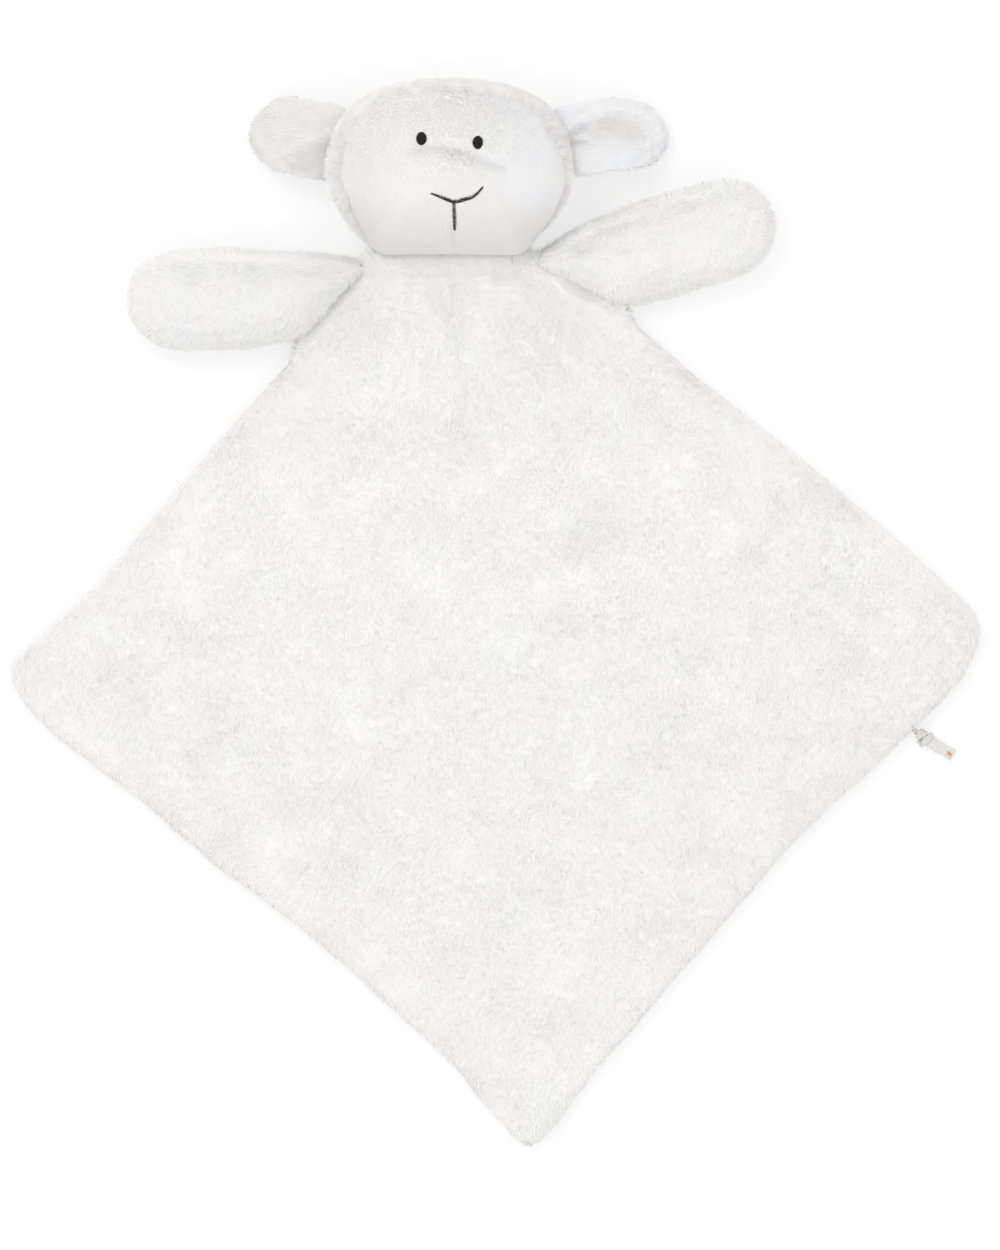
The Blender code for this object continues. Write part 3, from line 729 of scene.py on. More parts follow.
def pile_tree():
    """Geometry nodes that plant fibres over a cloth. The cloth's own attributes say how densely
    and how long the pile grows, and lay says which way and how far it leans."""
    tree = bpy.data.node_groups.new("pile", "GeometryNodeTree")
    inputs = (
        ("Cloth", "Geometry"),
        ("Fibre", "Object"),
        ("Fibres per square metre", "Float"),
        ("Spread", "Float"),
        ("Lock size", "Float"),
        ("Lock strength", "Float"),
        ("Length variation", "Float"),
        ("Seed", "Int"),
        ("Finish", "Material"),
    )
    for name, kind in inputs:
        tree.interface.new_socket(name, in_out="INPUT", socket_type="NodeSocket" + kind)
    tree.interface.new_socket("Pile", in_out="OUTPUT", socket_type="NodeSocketGeometry")
    pile = Nodes(tree)
    given = pile.node("NodeGroupInput").outputs

    def named(name, kind):
        made = pile.node("GeometryNodeInputNamedAttribute", {"Name": name}, data_type=kind)
        return made.outputs["Attribute"]

    def drawn(kind, socket_type, low, high, seed):
        """A random number or vector for each fibre."""
        made = pile.node("FunctionNodeRandomValue", {"Seed": seed}, data_type=kind)
        ends = [s for s in made.inputs if s.type == socket_type]
        pile.feed(ends[0], low)
        pile.feed(ends[1], high)
        return next(s for s in made.outputs if s.type == socket_type)

    density = pile.arithmetic(
        "MULTIPLY", given["Fibres per square metre"], named("pile_density", "FLOAT")
    )
    plant = pile.node(
        "GeometryNodeDistributePointsOnFaces",
        {"Mesh": given["Cloth"], "Seed": given["Seed"], "Density": density},
        distribute_method="RANDOM",
    )

    stray = drawn("FLOAT_VECTOR", "VECTOR", (-1, -1, -1), (1, 1, 1), given["Seed"])
    fineness = pile.arithmetic("DIVIDE", 1.0, given["Lock size"])
    locks = pile.node("ShaderNodeTexNoise", {"Detail": 1, "Scale": fineness})
    centred = pile.vectors("SUBTRACT", locks.outputs["Color"], (0.5, 0.5, 0.5))
    straying = pile.vectors("SCALE", stray, given["Spread"])
    pull = pile.vectors("SCALE", centred, given["Lock strength"])
    lean = pile.vectors("ADD", pile.vectors("ADD", named("lay", "FLOAT_VECTOR"), straying), pull)
    upright = pile.vectors("ADD", named("out", "FLOAT_VECTOR"), lean)
    turn = pile.node(
        "FunctionNodeAxesToRotation",
        {"Primary Axis": upright, "Secondary Axis": named("behind", "FLOAT_VECTOR")},
        primary_axis="Z",
        secondary_axis="Y",
    )

    shortest = pile.arithmetic("SUBTRACT", 1.0, given["Length variation"])
    longest = pile.arithmetic("ADD", 1.0, given["Length variation"])
    other_seed = pile.arithmetic("ADD", given["Seed"], 1)
    length = drawn("FLOAT", "VALUE", shortest, longest, other_seed)
    grown = pile.arithmetic("MULTIPLY", length, named("pile_length", "FLOAT"))
    size = pile.node("ShaderNodeCombineXYZ", {"X": 1, "Y": grown, "Z": grown})

    blade = pile.node("GeometryNodeObjectInfo", {"Object": given["Fibre"]})
    spread = pile.node(
        "GeometryNodeInstanceOnPoints",
        {
            "Points": plant.outputs["Points"],
            "Instance": blade.outputs["Geometry"],
            "Rotation": turn.outputs["Rotation"],
            "Scale": size.outputs["Vector"],
        },
    )
    real = pile.node("GeometryNodeRealizeInstances", {"Geometry": spread.outputs["Instances"]})
    coat = pile.node(
        "GeometryNodeSetMaterial",
        {"Geometry": real.outputs["Geometry"], "Material": given["Finish"]},
    )
    pile.node("NodeGroupOutput", {"Pile": coat.outputs["Geometry"]})
    return tree


def comb(obj, lay, lean, density, length, droop=0.0, out=None, hollow=0.0):
    """Stores how the pile grows on a cloth's vertices. lay is its direction, kept along the cloth,
    and lean how far it lies over. droop turns the pile on steep sides down. The flat side of each
    fibre faces away from what lies behind it: the cloth, and the table where the cloth is steep.
    The last argument says how far the pile is darkened: painted shade, and on some cloths a darker,
    mottled tone as well."""
    mesh = obj.data
    normals = vertex_normals(mesh) if out is None else out
    steep = 1 - np.abs(normals[:, 2:])
    lay = lay + np.array([0, 0, -droop]) * steep
    lay = lay - normals * (lay * normals).sum(axis=1, keepdims=True)
    each = np.ones(len(normals))
    upward = ramp(normals[:, 2:], -0.8, 0.5)
    mark(mesh, "lay", unit(lay) * np.reshape(each * lean, (-1, 1)))
    mark(mesh, "out", normals)
    mark(mesh, "behind", -unit(normals + upward * np.array([0, 0, blade_lift])))
    mark(mesh, "pile_density", each * density)
    mark(mesh, "pile_length", each * length)
    # Painted shade, and a darker tone where the cloth has one
    mark(mesh, "hollow", each * hollow)


def uncombed(mesh):
    for attribute in combed:
        mesh.attributes.remove(mesh.attributes[attribute])


def steadied(obj):
    """Pile stands nearer to upright on steep sides than on level cloth: a share of its lean."""
    level = np.abs(vertex_normals(obj.data)[:, 2])
    return least_steadied + (1 - least_steadied) * level


def grow_pile(name, cloth, tree, material, kind, seed, patch=None):
    """A mesh of fibres planted over a combed cloth, or over its patch: a share for each vertex.
    Dense pile shades like the cloth under it, so the fibres' normals lean towards the cloth's."""
    blade, per_area, spread, lock_size, lock_strength, variation, evenness = kind
    template = fibre(name + "_lock", *blade)
    obj = new_object(name, cloth.data.copy())
    obj.data.materials.clear()
    if patch is not None:
        mark(obj.data, "pile_density", marked(obj.data, "pile_density") * patch)
    sizes = {
        "Fibre": template,
        "Fibres per square metre": per_area,
        "Spread": spread,
        "Lock size": lock_size,
        "Lock strength": lock_strength,
        "Length variation": variation,
        "Seed": seed,
        "Finish": material,
    }
    modifier = obj.modifiers.new("Pile", "NODES")
    modifier.node_group = tree
    for item in tree.interface.items_tree:
        if item.in_out == "INPUT" and item.name in sizes:
            modifier[item.identifier] = sizes[item.name]
    finished(obj)
    mesh = obj.data
    shading = unit(vertex_normals(mesh) * (1 - evenness) - marked(mesh, "behind") * evenness)
    uncombed(mesh)
    press_on_table(mesh)
    mesh.normals_split_custom_set_from_vertices(shading.tolist())
    bpy.data.objects.remove(template)
    return obj


def press_on_table(mesh):
    """Pile under the blanket lies crushed between it and the table."""
    places = coordinates(mesh)
    low = np.minimum(places[:, 2], 0)
    places[:, 2] = np.maximum(places[:, 2], 0) + table_level * (1 - np.exp(-low / table_level))
    move_to(mesh, places)


def sector_shares(obj, count):
    """Shares of the vertices in sectors round the middle that add up to 1 everywhere."""
    places = coordinates(obj.data)
    turn = np.arctan2(places[:, 1], places[:, 0]) / math.tau * count
    apart = [(turn - number + count / 2) % count - count / 2 for number in range(count)]
    return [np.clip(1 - np.abs(a), 0, 1) for a in apart]


# Reliefs


def path_distance(x, y, path):
    """Distances to a path of plan points, and how far along it the nearest places lie, 0 to 1."""
    points = np.array(path) * MM
    lengths = np.linalg.norm(np.diff(points, axis=0), axis=1)
    best = np.full(x.shape, np.inf)
    share = np.zeros(x.shape)
    walked = 0.0
    for start, end, length in zip(points[:-1], points[1:], lengths):
        along = (end - start) / length
        t = np.clip((x - start[0]) * along[0] + (y - start[1]) * along[1], 0, length)
        distance = np.hypot(x - start[0] - along[0] * t, y - start[1] - along[1] * t)
        nearer = distance < best
        best = np.where(nearer, distance, best)
        share = np.where(nearer, (walked + t) / lengths.sum(), share)
        walked += length
    return best, share


def relief(x, y, strokes):
    """Heights of soft ridges and valleys, which fade out over the last fifth at each end."""
    total = np.zeros(x.shape)
    for path, width, height in strokes:
        distance, share = path_distance(x, y, path)
        fading = ramp(share, 0, 0.2) * ramp(share, 1, -0.2)
        total += height * MM * bell(distance, width * MM) * fading
    return total


# Blanket


def plan_outline(node, level):
    """The node's outline at a level, as evenly spaced points anticlockwise round the middle."""
    tree = surface_of(node)
    low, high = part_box(node)
    reach = (high - low).length
    start = sheet_middle + UP * level
    met = []
    for number in range(rim_rays):
        angle = math.tau * number / rim_rays
        out = Vector((math.cos(angle), math.sin(angle), 0))
        met.append(tree.ray_cast(start + out * reach, -out)[0])
    line = np.array([tuple(p) for p in met])
    steps = np.linalg.norm(np.roll(line, -1, axis=0) - line, axis=1)
    walked = np.concatenate([[0], np.cumsum(steps)])
    stations = np.linspace(0, walked[-1], rim_columns, endpoint=False)
    closed = np.vstack([line, line[:1]])
    ring = np.stack([np.interp(stations, walked, closed[:, axis]) for axis in range(2)], axis=1)
    for _ in range(outline_smoothing):
        ring = (np.roll(ring, 1, axis=0) + 2 * ring + np.roll(ring, -1, axis=0)) / 4
    return ring


def drawn_in(ring, distance):
    """The ring moved inwards by a distance."""
    along = np.roll(ring, -1, axis=0) - np.roll(ring, 1, axis=0)
    along = along / np.linalg.norm(along, axis=1, keepdims=True)
    inward = np.stack([-along[:, 1], along[:, 0]], axis=1)
    return ring + inward * np.reshape(distance, (-1, 1))


def towards_middle(ring, distance):
    """The ring moved straight towards the middle by a distance."""
    out = ring - np.array(sheet_middle[:2])
    return ring - out / np.linalg.norm(out, axis=1, keepdims=True) * distance


def beside(places, nodes, reach):
    """How closely the places run along the nodes, from 0 to 1."""
    tree = surface_of(*nodes)
    far = np.array([tree.find_nearest(Vector(place))[3] for place in places])
    return 1 - ramp(far, sewn_gap, reach)


def sheet_heights(node, side, seam, plan):
    """The heights of a node's outside over a plan of rows, evened out between its facets."""
    tree = surface_of(node)
    height = np.empty(plan.shape[:2])
    for row, places in enumerate(plan):
        for column, (x, y) in enumerate(places):
            hit = tree.ray_cast(Vector((x, y, 0.5 * side)), Vector((0, 0, -side)))[0]
            height[row, column] = hit.z if hit else seam + side * usual_height
    height[sheet_rows:] = height[sheet_rows - 1]
    for _ in range(height_smoothing):
        ends = np.vstack([height[:1], height, height[-1:]])
        across = (np.roll(height, 1, axis=1) + np.roll(height, -1, axis=1)) / 2
        height = (height * 2 + across + (ends[:-2] + ends[2:]) / 2) / 4
    return height


def ring_area(ring):
    following = np.roll(ring, -1, axis=0)
    return abs((ring[:, 0] * following[:, 1] - ring[:, 1] * following[:, 0]).sum()) / 2


def make_sheet(name, node, side, stand):
    """One of the blanket's two plush layers, a closed sheet whose rim rolls to the seam, and its
    flat area. side is 1 for the front and -1 for the back."""
    low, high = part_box(node)
    seam = low[2] if side > 0 else high[2]
    ring = plan_outline(node, seam + side * rim_level)
    wave = uneven(np.c_[ring, np.zeros(len(ring))], "rim")
    sewn = beside(np.c_[ring, np.full(len(ring), seam)], sewn_nodes, edge_reach)
    ring = drawn_in(ring, (edge_stand + wave) * (1 - sewn) - sewn * sewn_overlap)
    middle = np.array(sheet_middle[:2])
    inner = towards_middle(ring, rim_roll)
    shares = (np.arange(1, sheet_rows + 1) / sheet_rows) ** row_spacing
    plan = [middle + (inner - middle) * share for share in shares]
    plan = np.array(plan + [towards_middle(ring, rim_roll * share) for share in rim_shares])
    height = sheet_heights(node, side, seam, plan) - side * stand
    if side > 0:
        x, y = plan[..., 0].ravel(), plan[..., 1].ravel()
        flat = np.stack([x, y, np.zeros_like(x)], axis=1)
        folds = relief(x, y, blanket_strokes) + uneven(flat, "folds")
        arms = beside(flat, ["left_arm_front", "right_arm_front"], shoulder_reach)
        height += (folds + arms * shoulder_rise).reshape(height.shape)
        height = np.maximum(height, seam + least_height)
    rim_share = np.array([1.0] * sheet_rows + list(rim_shares))
    roll = np.sqrt(np.maximum(1 - (1 - rim_share) ** 2, 0))[:, None]
    height = seam + (height - seam) * (roll + (1 - roll) * sewn)
    rows = [[(x, y, z) for (x, y), z in zip(plan[row], height[row])] for row in range(len(plan))]
    for share in lining_shares:
        rows.append([(x, y, seam) for x, y in middle + (ring - middle) * share])
    top = (*middle, float(height[0].mean()))
    return new_object(name, grid_mesh(name, rows, top, (*middle, seam))), ring_area(ring)


def blanket_lay(places):
    """The way the blanket's pile lies: down the blanket, straying in broad drifts, and rumpled
    where it has been crushed."""
    crushed = bell(path_distance(places[:, 0], places[:, 1], crushed_path)[0], crushed_width)
    turn = uneven(places, "blanket_lay") + crushed * uneven(places, "crushed_lay")
    heading = -math.pi / 2 + turn
    return np.stack([np.cos(heading), np.sin(heading), 0 * heading], axis=1)


def make_blanket(finishes, tree):
    sides = (
        ("blanket_front", "blanket_front_panel", 1, front_stand, long_pile, 4),
        ("blanket_back", "blanket_back_panel", -1, back_stand, back_pile, 2),
    )
    for name, node, side, stand, kind, patches in sides:
        sheet, area = make_sheet(name, node, side, stand)
        sheet.data.materials.append(finishes["ground"])
        places = coordinates(sheet.data)
        outside = np.zeros(len(places))
        outside[: (sheet_rows + len(rim_shares)) * rim_columns] = 1
        outside[-2] = 1
        out = vertex_normals(sheet.data)
        out[:, 2] = side * np.maximum(side * out[:, 2], 0)
        over_seam = beside(places, sewn_nodes, lay_reach)
        at_neck = over_seam * ramp(places[:, 1], neck_line, 5 * MM)
        length = pile_lengths["blanket"] + uneven(places, "blanket_length")
        length += length_over_seam * over_seam
        length += length_at_neck * at_neck
        lean = leans["blanket"] + uneven(places, "blanket_lean")
        inward = over_seam[:, None]
        lay = blanket_lay(places) * (1 - inward) + unit(places) * inward
        # A darker tone, mottled at random, taken off over the seams: painted light where shade falls
        blanket_tone_and_painted_light = np.clip((usual_blanket_darkening + uneven(places, "blanket_mottling")) * (1 - over_seam), 0, 1)
        comb(sheet, lay, lean, outside, length, droops["blanket"] * side, unit(out), blanket_tone_and_painted_light)
        for number, share in enumerate(sector_shares(sheet, patches)):
            piece = f"{name}_pile_{number + 1}"
            seed = pile_seeds["blanket"] + number
            pile = grow_pile(piece, sheet, tree, finishes["plush"], kind, seed, share)
            dressed(pile, "blanket", "plush_pile")
        dressed(sheet, "blanket", "plush_pile", node)


# Stuffed forms


def soft_copy(name, node, plain, rounding):
    """A smooth, finely divided copy of a node's faceted solid: some plain levels that keep its
    corners, then some rounding ones."""
    bm = bmesh.new()
    bm.from_mesh(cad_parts[node].data)
    bmesh.ops.remove_doubles(bm, verts=bm.verts, dist=1e-6)
    bmesh.ops.join_triangles(
        bm,
        faces=bm.faces,
        angle_face_threshold=math.radians(60),
        angle_shape_threshold=math.radians(60),
        topology_influence=1.5,
    )
    mesh = bpy.data.meshes.new(name)
    bm.to_mesh(mesh)
    bm.free()
    mesh.materials.clear()
    obj = new_object(name, mesh)
    for kind, levels in (("SIMPLE", plain), ("CATMULL_CLARK", rounding)):
        subdivision = obj.modifiers.new("Division", "SUBSURF")
        subdivision.subdivision_type = kind
        subdivision.levels = levels
        subdivision.render_levels = levels
    finished(obj)
    obj.data.shade_smooth()
    return obj


def panel_shell(name, stuffing, panels, plain, rounding, reach=None):
    """A stuffed form's outside. Its faces' material index says which panel they belong to, and
    reach gives the first panel some ground from its neighbours."""
    shell = soft_copy(name, stuffing, plain, rounding)
    for _ in panels:
        shell.data.materials.append(None)
    trees = [surface_of(panel) for panel in panels]
    outer = [tuple(face.center + face.normal * panel_stand) for face in shell.data.polygons]
    far = np.array([[tree.find_nearest(Vector(place))[3] for tree in trees] for place in outer])
    if reach is not None:
        far[:, 0] -= reach(np.array(outer))
    shell.data.polygons.foreach_set("material_index", far.argmin(axis=1).astype(np.int32))
    return shell


def seam_distances(mesh):
    """Each vertex's distance to the nearest edge between two panels."""
    kinds = {}
    for polygon in mesh.polygons:
        for key in polygon.edge_keys:
            kinds.setdefault(key, set()).add(polygon.material_index)
    met = [mesh.vertices[i].co for key, found in kinds.items() if len(found) > 1 for i in key]
    tree = KDTree(len(met))
    for number, place in enumerate(met):
        tree.insert(place, number)
    tree.balance()
    return np.array([tree.find(v.co)[2] for v in mesh.vertices])


def evened(mesh, values, times):
    """Values at the vertices, drawn towards their neighbours' means a number of times."""
    edges = np.empty(len(mesh.edges) * 2, np.int32)
    mesh.edges.foreach_get("vertices", edges)
    one, other = edges.reshape(-1, 2).T
    count = np.bincount(one, minlength=len(values)) + np.bincount(other, minlength=len(values))
    count = count.reshape(-1, *[1] * (values.ndim - 1))
    for _ in range(times):
        total = np.zeros_like(values)
        np.add.at(total, one, values[other])
        np.add.at(total, other, values[one])
        values = (values + total / count) / 2
    return values


def room_outside(mesh, panels, times):
    """How far each vertex lies under the outside of the panels, evened over the mesh."""
    tree = surface_of(*panels)
    places = coordinates(mesh)
    normals = vertex_normals(mesh)
    room = np.full(len(places), usual_room)
    for number, (place, normal) in enumerate(zip(places, normals)):
        start = Vector(place + normal * longest_room)
        hit = tree.ray_cast(start, -Vector(normal), 2 * longest_room)[3]
        if hit is not None:
            room[number] = longest_room - hit
    return evened(mesh, room, times)


def on_panel(mesh, index):
    """1 for the vertices that belong to a panel, on its seams too."""
    found = np.zeros(len(mesh.vertices))
    for polygon in mesh.polygons:
        if polygon.material_index == index:
            found[list(polygon.vertices)] = 1
    return found


def cut_panel(shell, index, name, material):
    """The shell's faces of one panel, as an open sheet."""
    bm = bmesh.new()
    bm.from_mesh(shell.data)
    others = [face for face in bm.faces if face.material_index != index]
    bmesh.ops.delete(bm, geom=others, context="FACES")
    for face in bm.faces:
        face.material_index = 0
    mesh = bpy.data.meshes.new(name)
    bm.to_mesh(mesh)
    bm.free()
    mesh.materials.append(material)
    return new_object(name, mesh)


def thickened(obj):
    """The open sheet as a closed skin, thickened inwards."""
    uncombed(obj.data)
    skin = obj.modifiers.new("Skin", "SOLIDIFY")
    skin.thickness = skin_thickness
    skin.offset = -1
    return finished(obj)


def make_stuffing(node, body, material):
    """Loose fibre: the space inside the skins, lumpy and a little slack."""
    obj = soft_copy(node + "_fibre", node, 0, 2)
    mesh = obj.data
    places = coordinates(mesh)
    lumps = uneven(places, "stuffing") - stuffing_slack
    move_to(mesh, places + vertex_normals(mesh) * lumps[:, None])
    mesh.materials.append(material)
    dressed(obj, body, "fibre_stuffing", node)


def face_relief(places, normals):
    """The face's sewn and stuffed forms: the crease over the muzzle, the muzzle's crown and ends,
    the dents under the embroidery and the dart below it."""
    height = relief(places[:, 0], places[:, 1], face_strokes)
    for middle, radii, rise in face_swells:
        across = (places[:, 0] - middle[0] * MM) / (radii[0] * MM)
        up = (places[:, 1] - middle[1] * MM) / (radii[1] * MM)
        height += rise * MM * np.exp(-(across**2) - up**2)
    return height * ramp(normals[:, 2], 0, 0.5)


def cheek_reach(places):
    """How much further the velour goes round the lower right cheek, where the fur is out of sight."""
    across = ramp(places[:, 0], head_middle[0], 24 * MM)
    return 6 * MM * across * ramp(places[:, 1], 230 * MM, -22 * MM)


def face_shade(places):
    """How much painted shade the face's velour has: darker towards the chin, at the sides, on the left
    cheek and over the muzzle, all together.
    """
    x = places[:, 0] - head_middle[0]
    y = places[:, 1]
    painted_shade_masks = {
        "chin": ramp(y, 208 * MM, -22 * MM),
        "sides": ramp(np.abs(x), 24 * MM, 18 * MM),
        "left_cheek": ramp(-x, 14 * MM, 24 * MM),
        "muzzle": bell(x, 20 * MM) * bell(y - 210 * MM, 9 * MM),
    }
    return sum(face_shades[name] * hollow for name, hollow in painted_shade_masks.items())


def make_head(finishes, tree):
    panels = ("head_face_panel", "head_back_left", "head_back_right")
    shell = panel_shell("head_shell", "head_stuffing", panels, 0, 3, cheek_reach)
    mesh = shell.data
    places = coordinates(mesh)
    normals = vertex_normals(mesh)
    seam = seam_distances(mesh)
    room = pile_room - (pile_room - nap_room) * on_panel(mesh, 0) * ramp(seam, 0, 5 * MM)
    groove = seam_groove * bell(seam, head_groove_width) * ramp(places[:, 2], 12 * MM, 12 * MM)
    step = room_outside(mesh, panels, head_smoothing) - room - groove
    places = places + normals * step[:, None]
    places[:, 2] += face_relief(places, normals)
    move_to(mesh, places)
    mark(mesh, "seam_distance", seam)
    surface = BVHTree.FromPolygons(
        [v.co.copy() for v in mesh.vertices], [tuple(p.vertices) for p in mesh.polygons]
    )

    face = cut_panel(shell, 0, "head_face", finishes["velour_ground"])
    places = coordinates(face.data)
    down = np.array([0, -1.0, 0]) + np.c_[uneven(places, "nap_lay"), 0 * places[:, :2]]
    # The face's velour gets its painted shade
    comb(face, down, leans["nap"], 1.0, 1.0, hollow=face_shade(places))
    seed = pile_seeds["nap"]
    nap = grow_pile("head_face_nap", face, tree, finishes["velour"], velour_nap, seed)
    dressed(nap, "head", "face_velour")
    dressed(thickened(face), "head", "face_velour", "head_face_panel")

    for number, side in enumerate(("left", "right")):
        back = cut_panel(shell, number + 1, f"head_{side}", finishes["ground"])
        places = coordinates(back.data)
        away = places - head_middle
        away[:, 2] = -6 * MM
        lay = unit(away)
        lay[:, 0] += uneven(places, "head_lay_x")
        lay[:, 1] += uneven(places, "head_lay_y")
        lean = leans["head"] * ramp(marked(back.data, "seam_distance"), 0, 5 * MM) + seam_lean
        above_chin = ramp(places[:, 1], chin_line, 12 * MM)
        crown = ramp(places[:, 1], crown_line, 14 * MM)
        length = pile_lengths["head"] + uneven(places, "head_length")
        length *= length_below_chin + (1 - length_below_chin) * above_chin
        length -= length_off_crown * crown
        # Painted shade on the head's pile, uneven in tufts
        painted_shade_and_tufts = np.clip(head_shade + uneven(places, "head_tufts"), 0, 1)
        comb(back, lay, lean * steadied(back), 1.0, length, droops["head"], hollow=painted_shade_and_tufts)
        seed = pile_seeds["head"] + number
        pile = grow_pile(f"head_{side}_pile", back, tree, finishes["plush"], head_pile, seed)
        dressed(pile, "head", "plush_pile")
        dressed(thickened(back), "head", "plush_pile", f"head_back_{side}")
    bpy.data.objects.remove(shell)
    make_stuffing("head_stuffing", "head", finishes["stuffing"])
    return surface


def make_arm(side, finishes, tree):
    body = f"{side}_arm"
    blanket = ["blanket_front_panel"]
    panels = (body + "_front", body + "_back")
    shell = panel_shell(body + "_shell", body + "_stuffing", panels, 2, 1)
    mesh = shell.data
    places = evened(mesh, coordinates(mesh), arm_rounding)
    move_to(mesh, places)
    seam = seam_distances(mesh)
    mark(mesh, "seam_distance", seam)
    groove = arm_groove_share * seam_groove * bell(seam, arm_groove_width)
    step = room_outside(mesh, panels, arm_smoothing) - pile_room - groove
    step += uneven(places, "arm_skin")
    places = places + vertex_normals(mesh) * step[:, None]
    places[:, 1] += arm_shifts[side] * (1 - beside(places, blanket, arm_shift_reach))
    at_root = beside(places, blanket, arm_root_reach) * on_panel(mesh, 0)
    places[:, 2] += at_root * np.maximum(arm_root_level - places[:, 2], 0)
    move_to(mesh, places)
    outward = -1 if side == "left" else 1
    for number, (ending, kind) in enumerate((("front", arm_pile), ("back", back_pile))):
        skin = cut_panel(shell, number, f"{body}_{ending}_skin", finishes["ground"])
        places = coordinates(skin.data)
        lay = np.array([0.55 * outward, -0.8, 0]) + 0 * places
        lay[:, 0] += uneven(places, "arm_lay_x")
        lay[:, 1] += uneven(places, "arm_lay_y")
        near = bell(marked(skin.data, "seam_distance"), 6 * MM)
        near = (near * (1 - beside(places, blanket, 10 * MM)))[:, None]
        downhill = vertex_normals(skin.data) * np.array([1, 1, 0]) - np.array([0, 0, 1.0])
        lay = lay * (1 - near) + downhill * near
        length = pile_lengths["arm"] + uneven(places, "arm_length")
        length -= length_off_level_arm * steadied(skin)
        lean = leans["arm"] * steadied(skin)
        # Painted shade, the same all over the arm
        comb(skin, lay, lean, 1.0, length, droops["arm"], hollow=arm_shade)
        seed = pile_seeds["arm"] + number
        pile = grow_pile(f"{body}_{ending}_pile", skin, tree, finishes["plush"], kind, seed)
        dressed(pile, body, "plush_pile")
        dressed(thickened(skin), body, "plush_pile", f"{body}_{ending}")
    bpy.data.objects.remove(shell)
    make_stuffing(body + "_stuffing", body, finishes["stuffing"])


# Ears


def ear_outline(side, places):
    """Draws the left ear in to its pointed tip, and the right one out to its round one."""
    x, y = places[:, 0], places[:, 1]
    if side == "left":
        share = np.clip((-72 * MM - x) / (30 * MM), 0, 1) ** 2
        places[:, 0] += share * (4.5 * MM + 6 * MM * ((y - 228 * MM) / (14 * MM)) ** 2)
    else:
        places[:, 0] += 3 * MM * ramp(x, 40 * MM, 25 * MM) * ramp(y, 213 * MM, 16 * MM)
        places[:, 1] += 1.6 * MM * ramp(y, 219 * MM, -8 * MM)
    return places


def make_ear(side, finishes, tree):
    """Two layers of cloth, cupped and folded where they are gathered into the head's seam."""
    body = f"{side}_ear"
    inward = np.array(ear_inward[side])
    root = np.array(ear_roots[side]) * MM
    layers = (
        ("front", "face_velour", "velour_ground", "velour", ear_nap, 1),
        ("back", "plush_pile", "ground", "plush", ear_pile, -1),
    )
    for ending, slot, ground, coat, kind, facing in layers:
        layer = soft_copy(f"{body}_{ending}_cloth", f"{body}_{ending}", 0, 3)
        mesh = layer.data
        mesh.materials.append(finishes[ground])
        places = coordinates(mesh)
        folds = relief(places[:, 0], places[:, 1], ear_strokes[side])
        places -= vertex_normals(mesh) * ear_slimming
        places[:, 2] += folds
        towards = ear_root_step * smooth_step(1 + ((places - root) @ inward) / ear_root_reach)
        places = ear_outline(side, places + inward * towards[:, None])
        move_to(mesh, places)
        outside = ramp(facing * vertex_normals(mesh)[:, 2], -0.35, 0.4)
        away = places - head_middle
        away[:, 2] = 0
        lay = unit(away) + np.array([0, -0.4, 0])
        lay[:, 1] += uneven(places, "ear_lay")
        # Painted shade: more over the left ear than the right, and deeper in the folds
        hollow = ear_shade[side] + ear_fold_shade * np.clip(-folds / ear_fold_depth, 0, 1)
        lean = leans[f"ear_{ending}"]
        comb(layer, lay, lean, outside, 2 - steadied(layer), droops["ear"], hollow=hollow)
        seed = pile_seeds["ear"]
        pile = grow_pile(f"{body}_{ending}_pile", layer, tree, finishes[coat], kind, seed)
        dressed(pile, body, slot)
        dressed(layer, body, slot, f"{body}_{ending}")


# Embroidery


def tubes(name, lines, radius, sides, material):
    """A thread along each line of points, as closed tubes that taper at their ends."""
    places = []
    faces = []
    for line in lines:
        line = np.array(line)
        ahead = unit(np.gradient(line, axis=0))
        over = np.cross(ahead, np.array([0, 0, 1.0]))
        over = unit(over + np.array([1e-6, 0, 0]))
        top = np.cross(over, ahead)
        base = len(places)
        shares = np.linspace(0, 1, len(line))
        slim = np.sqrt(np.clip(1 - np.abs(2 * shares - 1) ** 6, 0.02, 1))
        for place, o, t, thin in zip(line, over, top, slim):
            for number in range(sides):
                angle = math.tau * number / sides
                places.append(place + (o * math.cos(angle) + t * math.sin(angle)) * radius * thin)
        faces += ring_faces(len(line), sides, base)
        faces.append(tuple(base + number for number in reversed(range(sides))))
        end = base + (len(line) - 1) * sides
        faces.append(tuple(end + number for number in range(sides)))
    mesh = skinned(name, places, faces)
    mesh.materials.append(material)
    return new_object(name, mesh)


def lifted(surface, x, y, lift):
    """The place a given height over the face at a plan point."""
    hit, normal = surface.ray_cast(Vector((x, y, 0.2)), -UP)[:2]
    return tuple(hit + normal * lift)


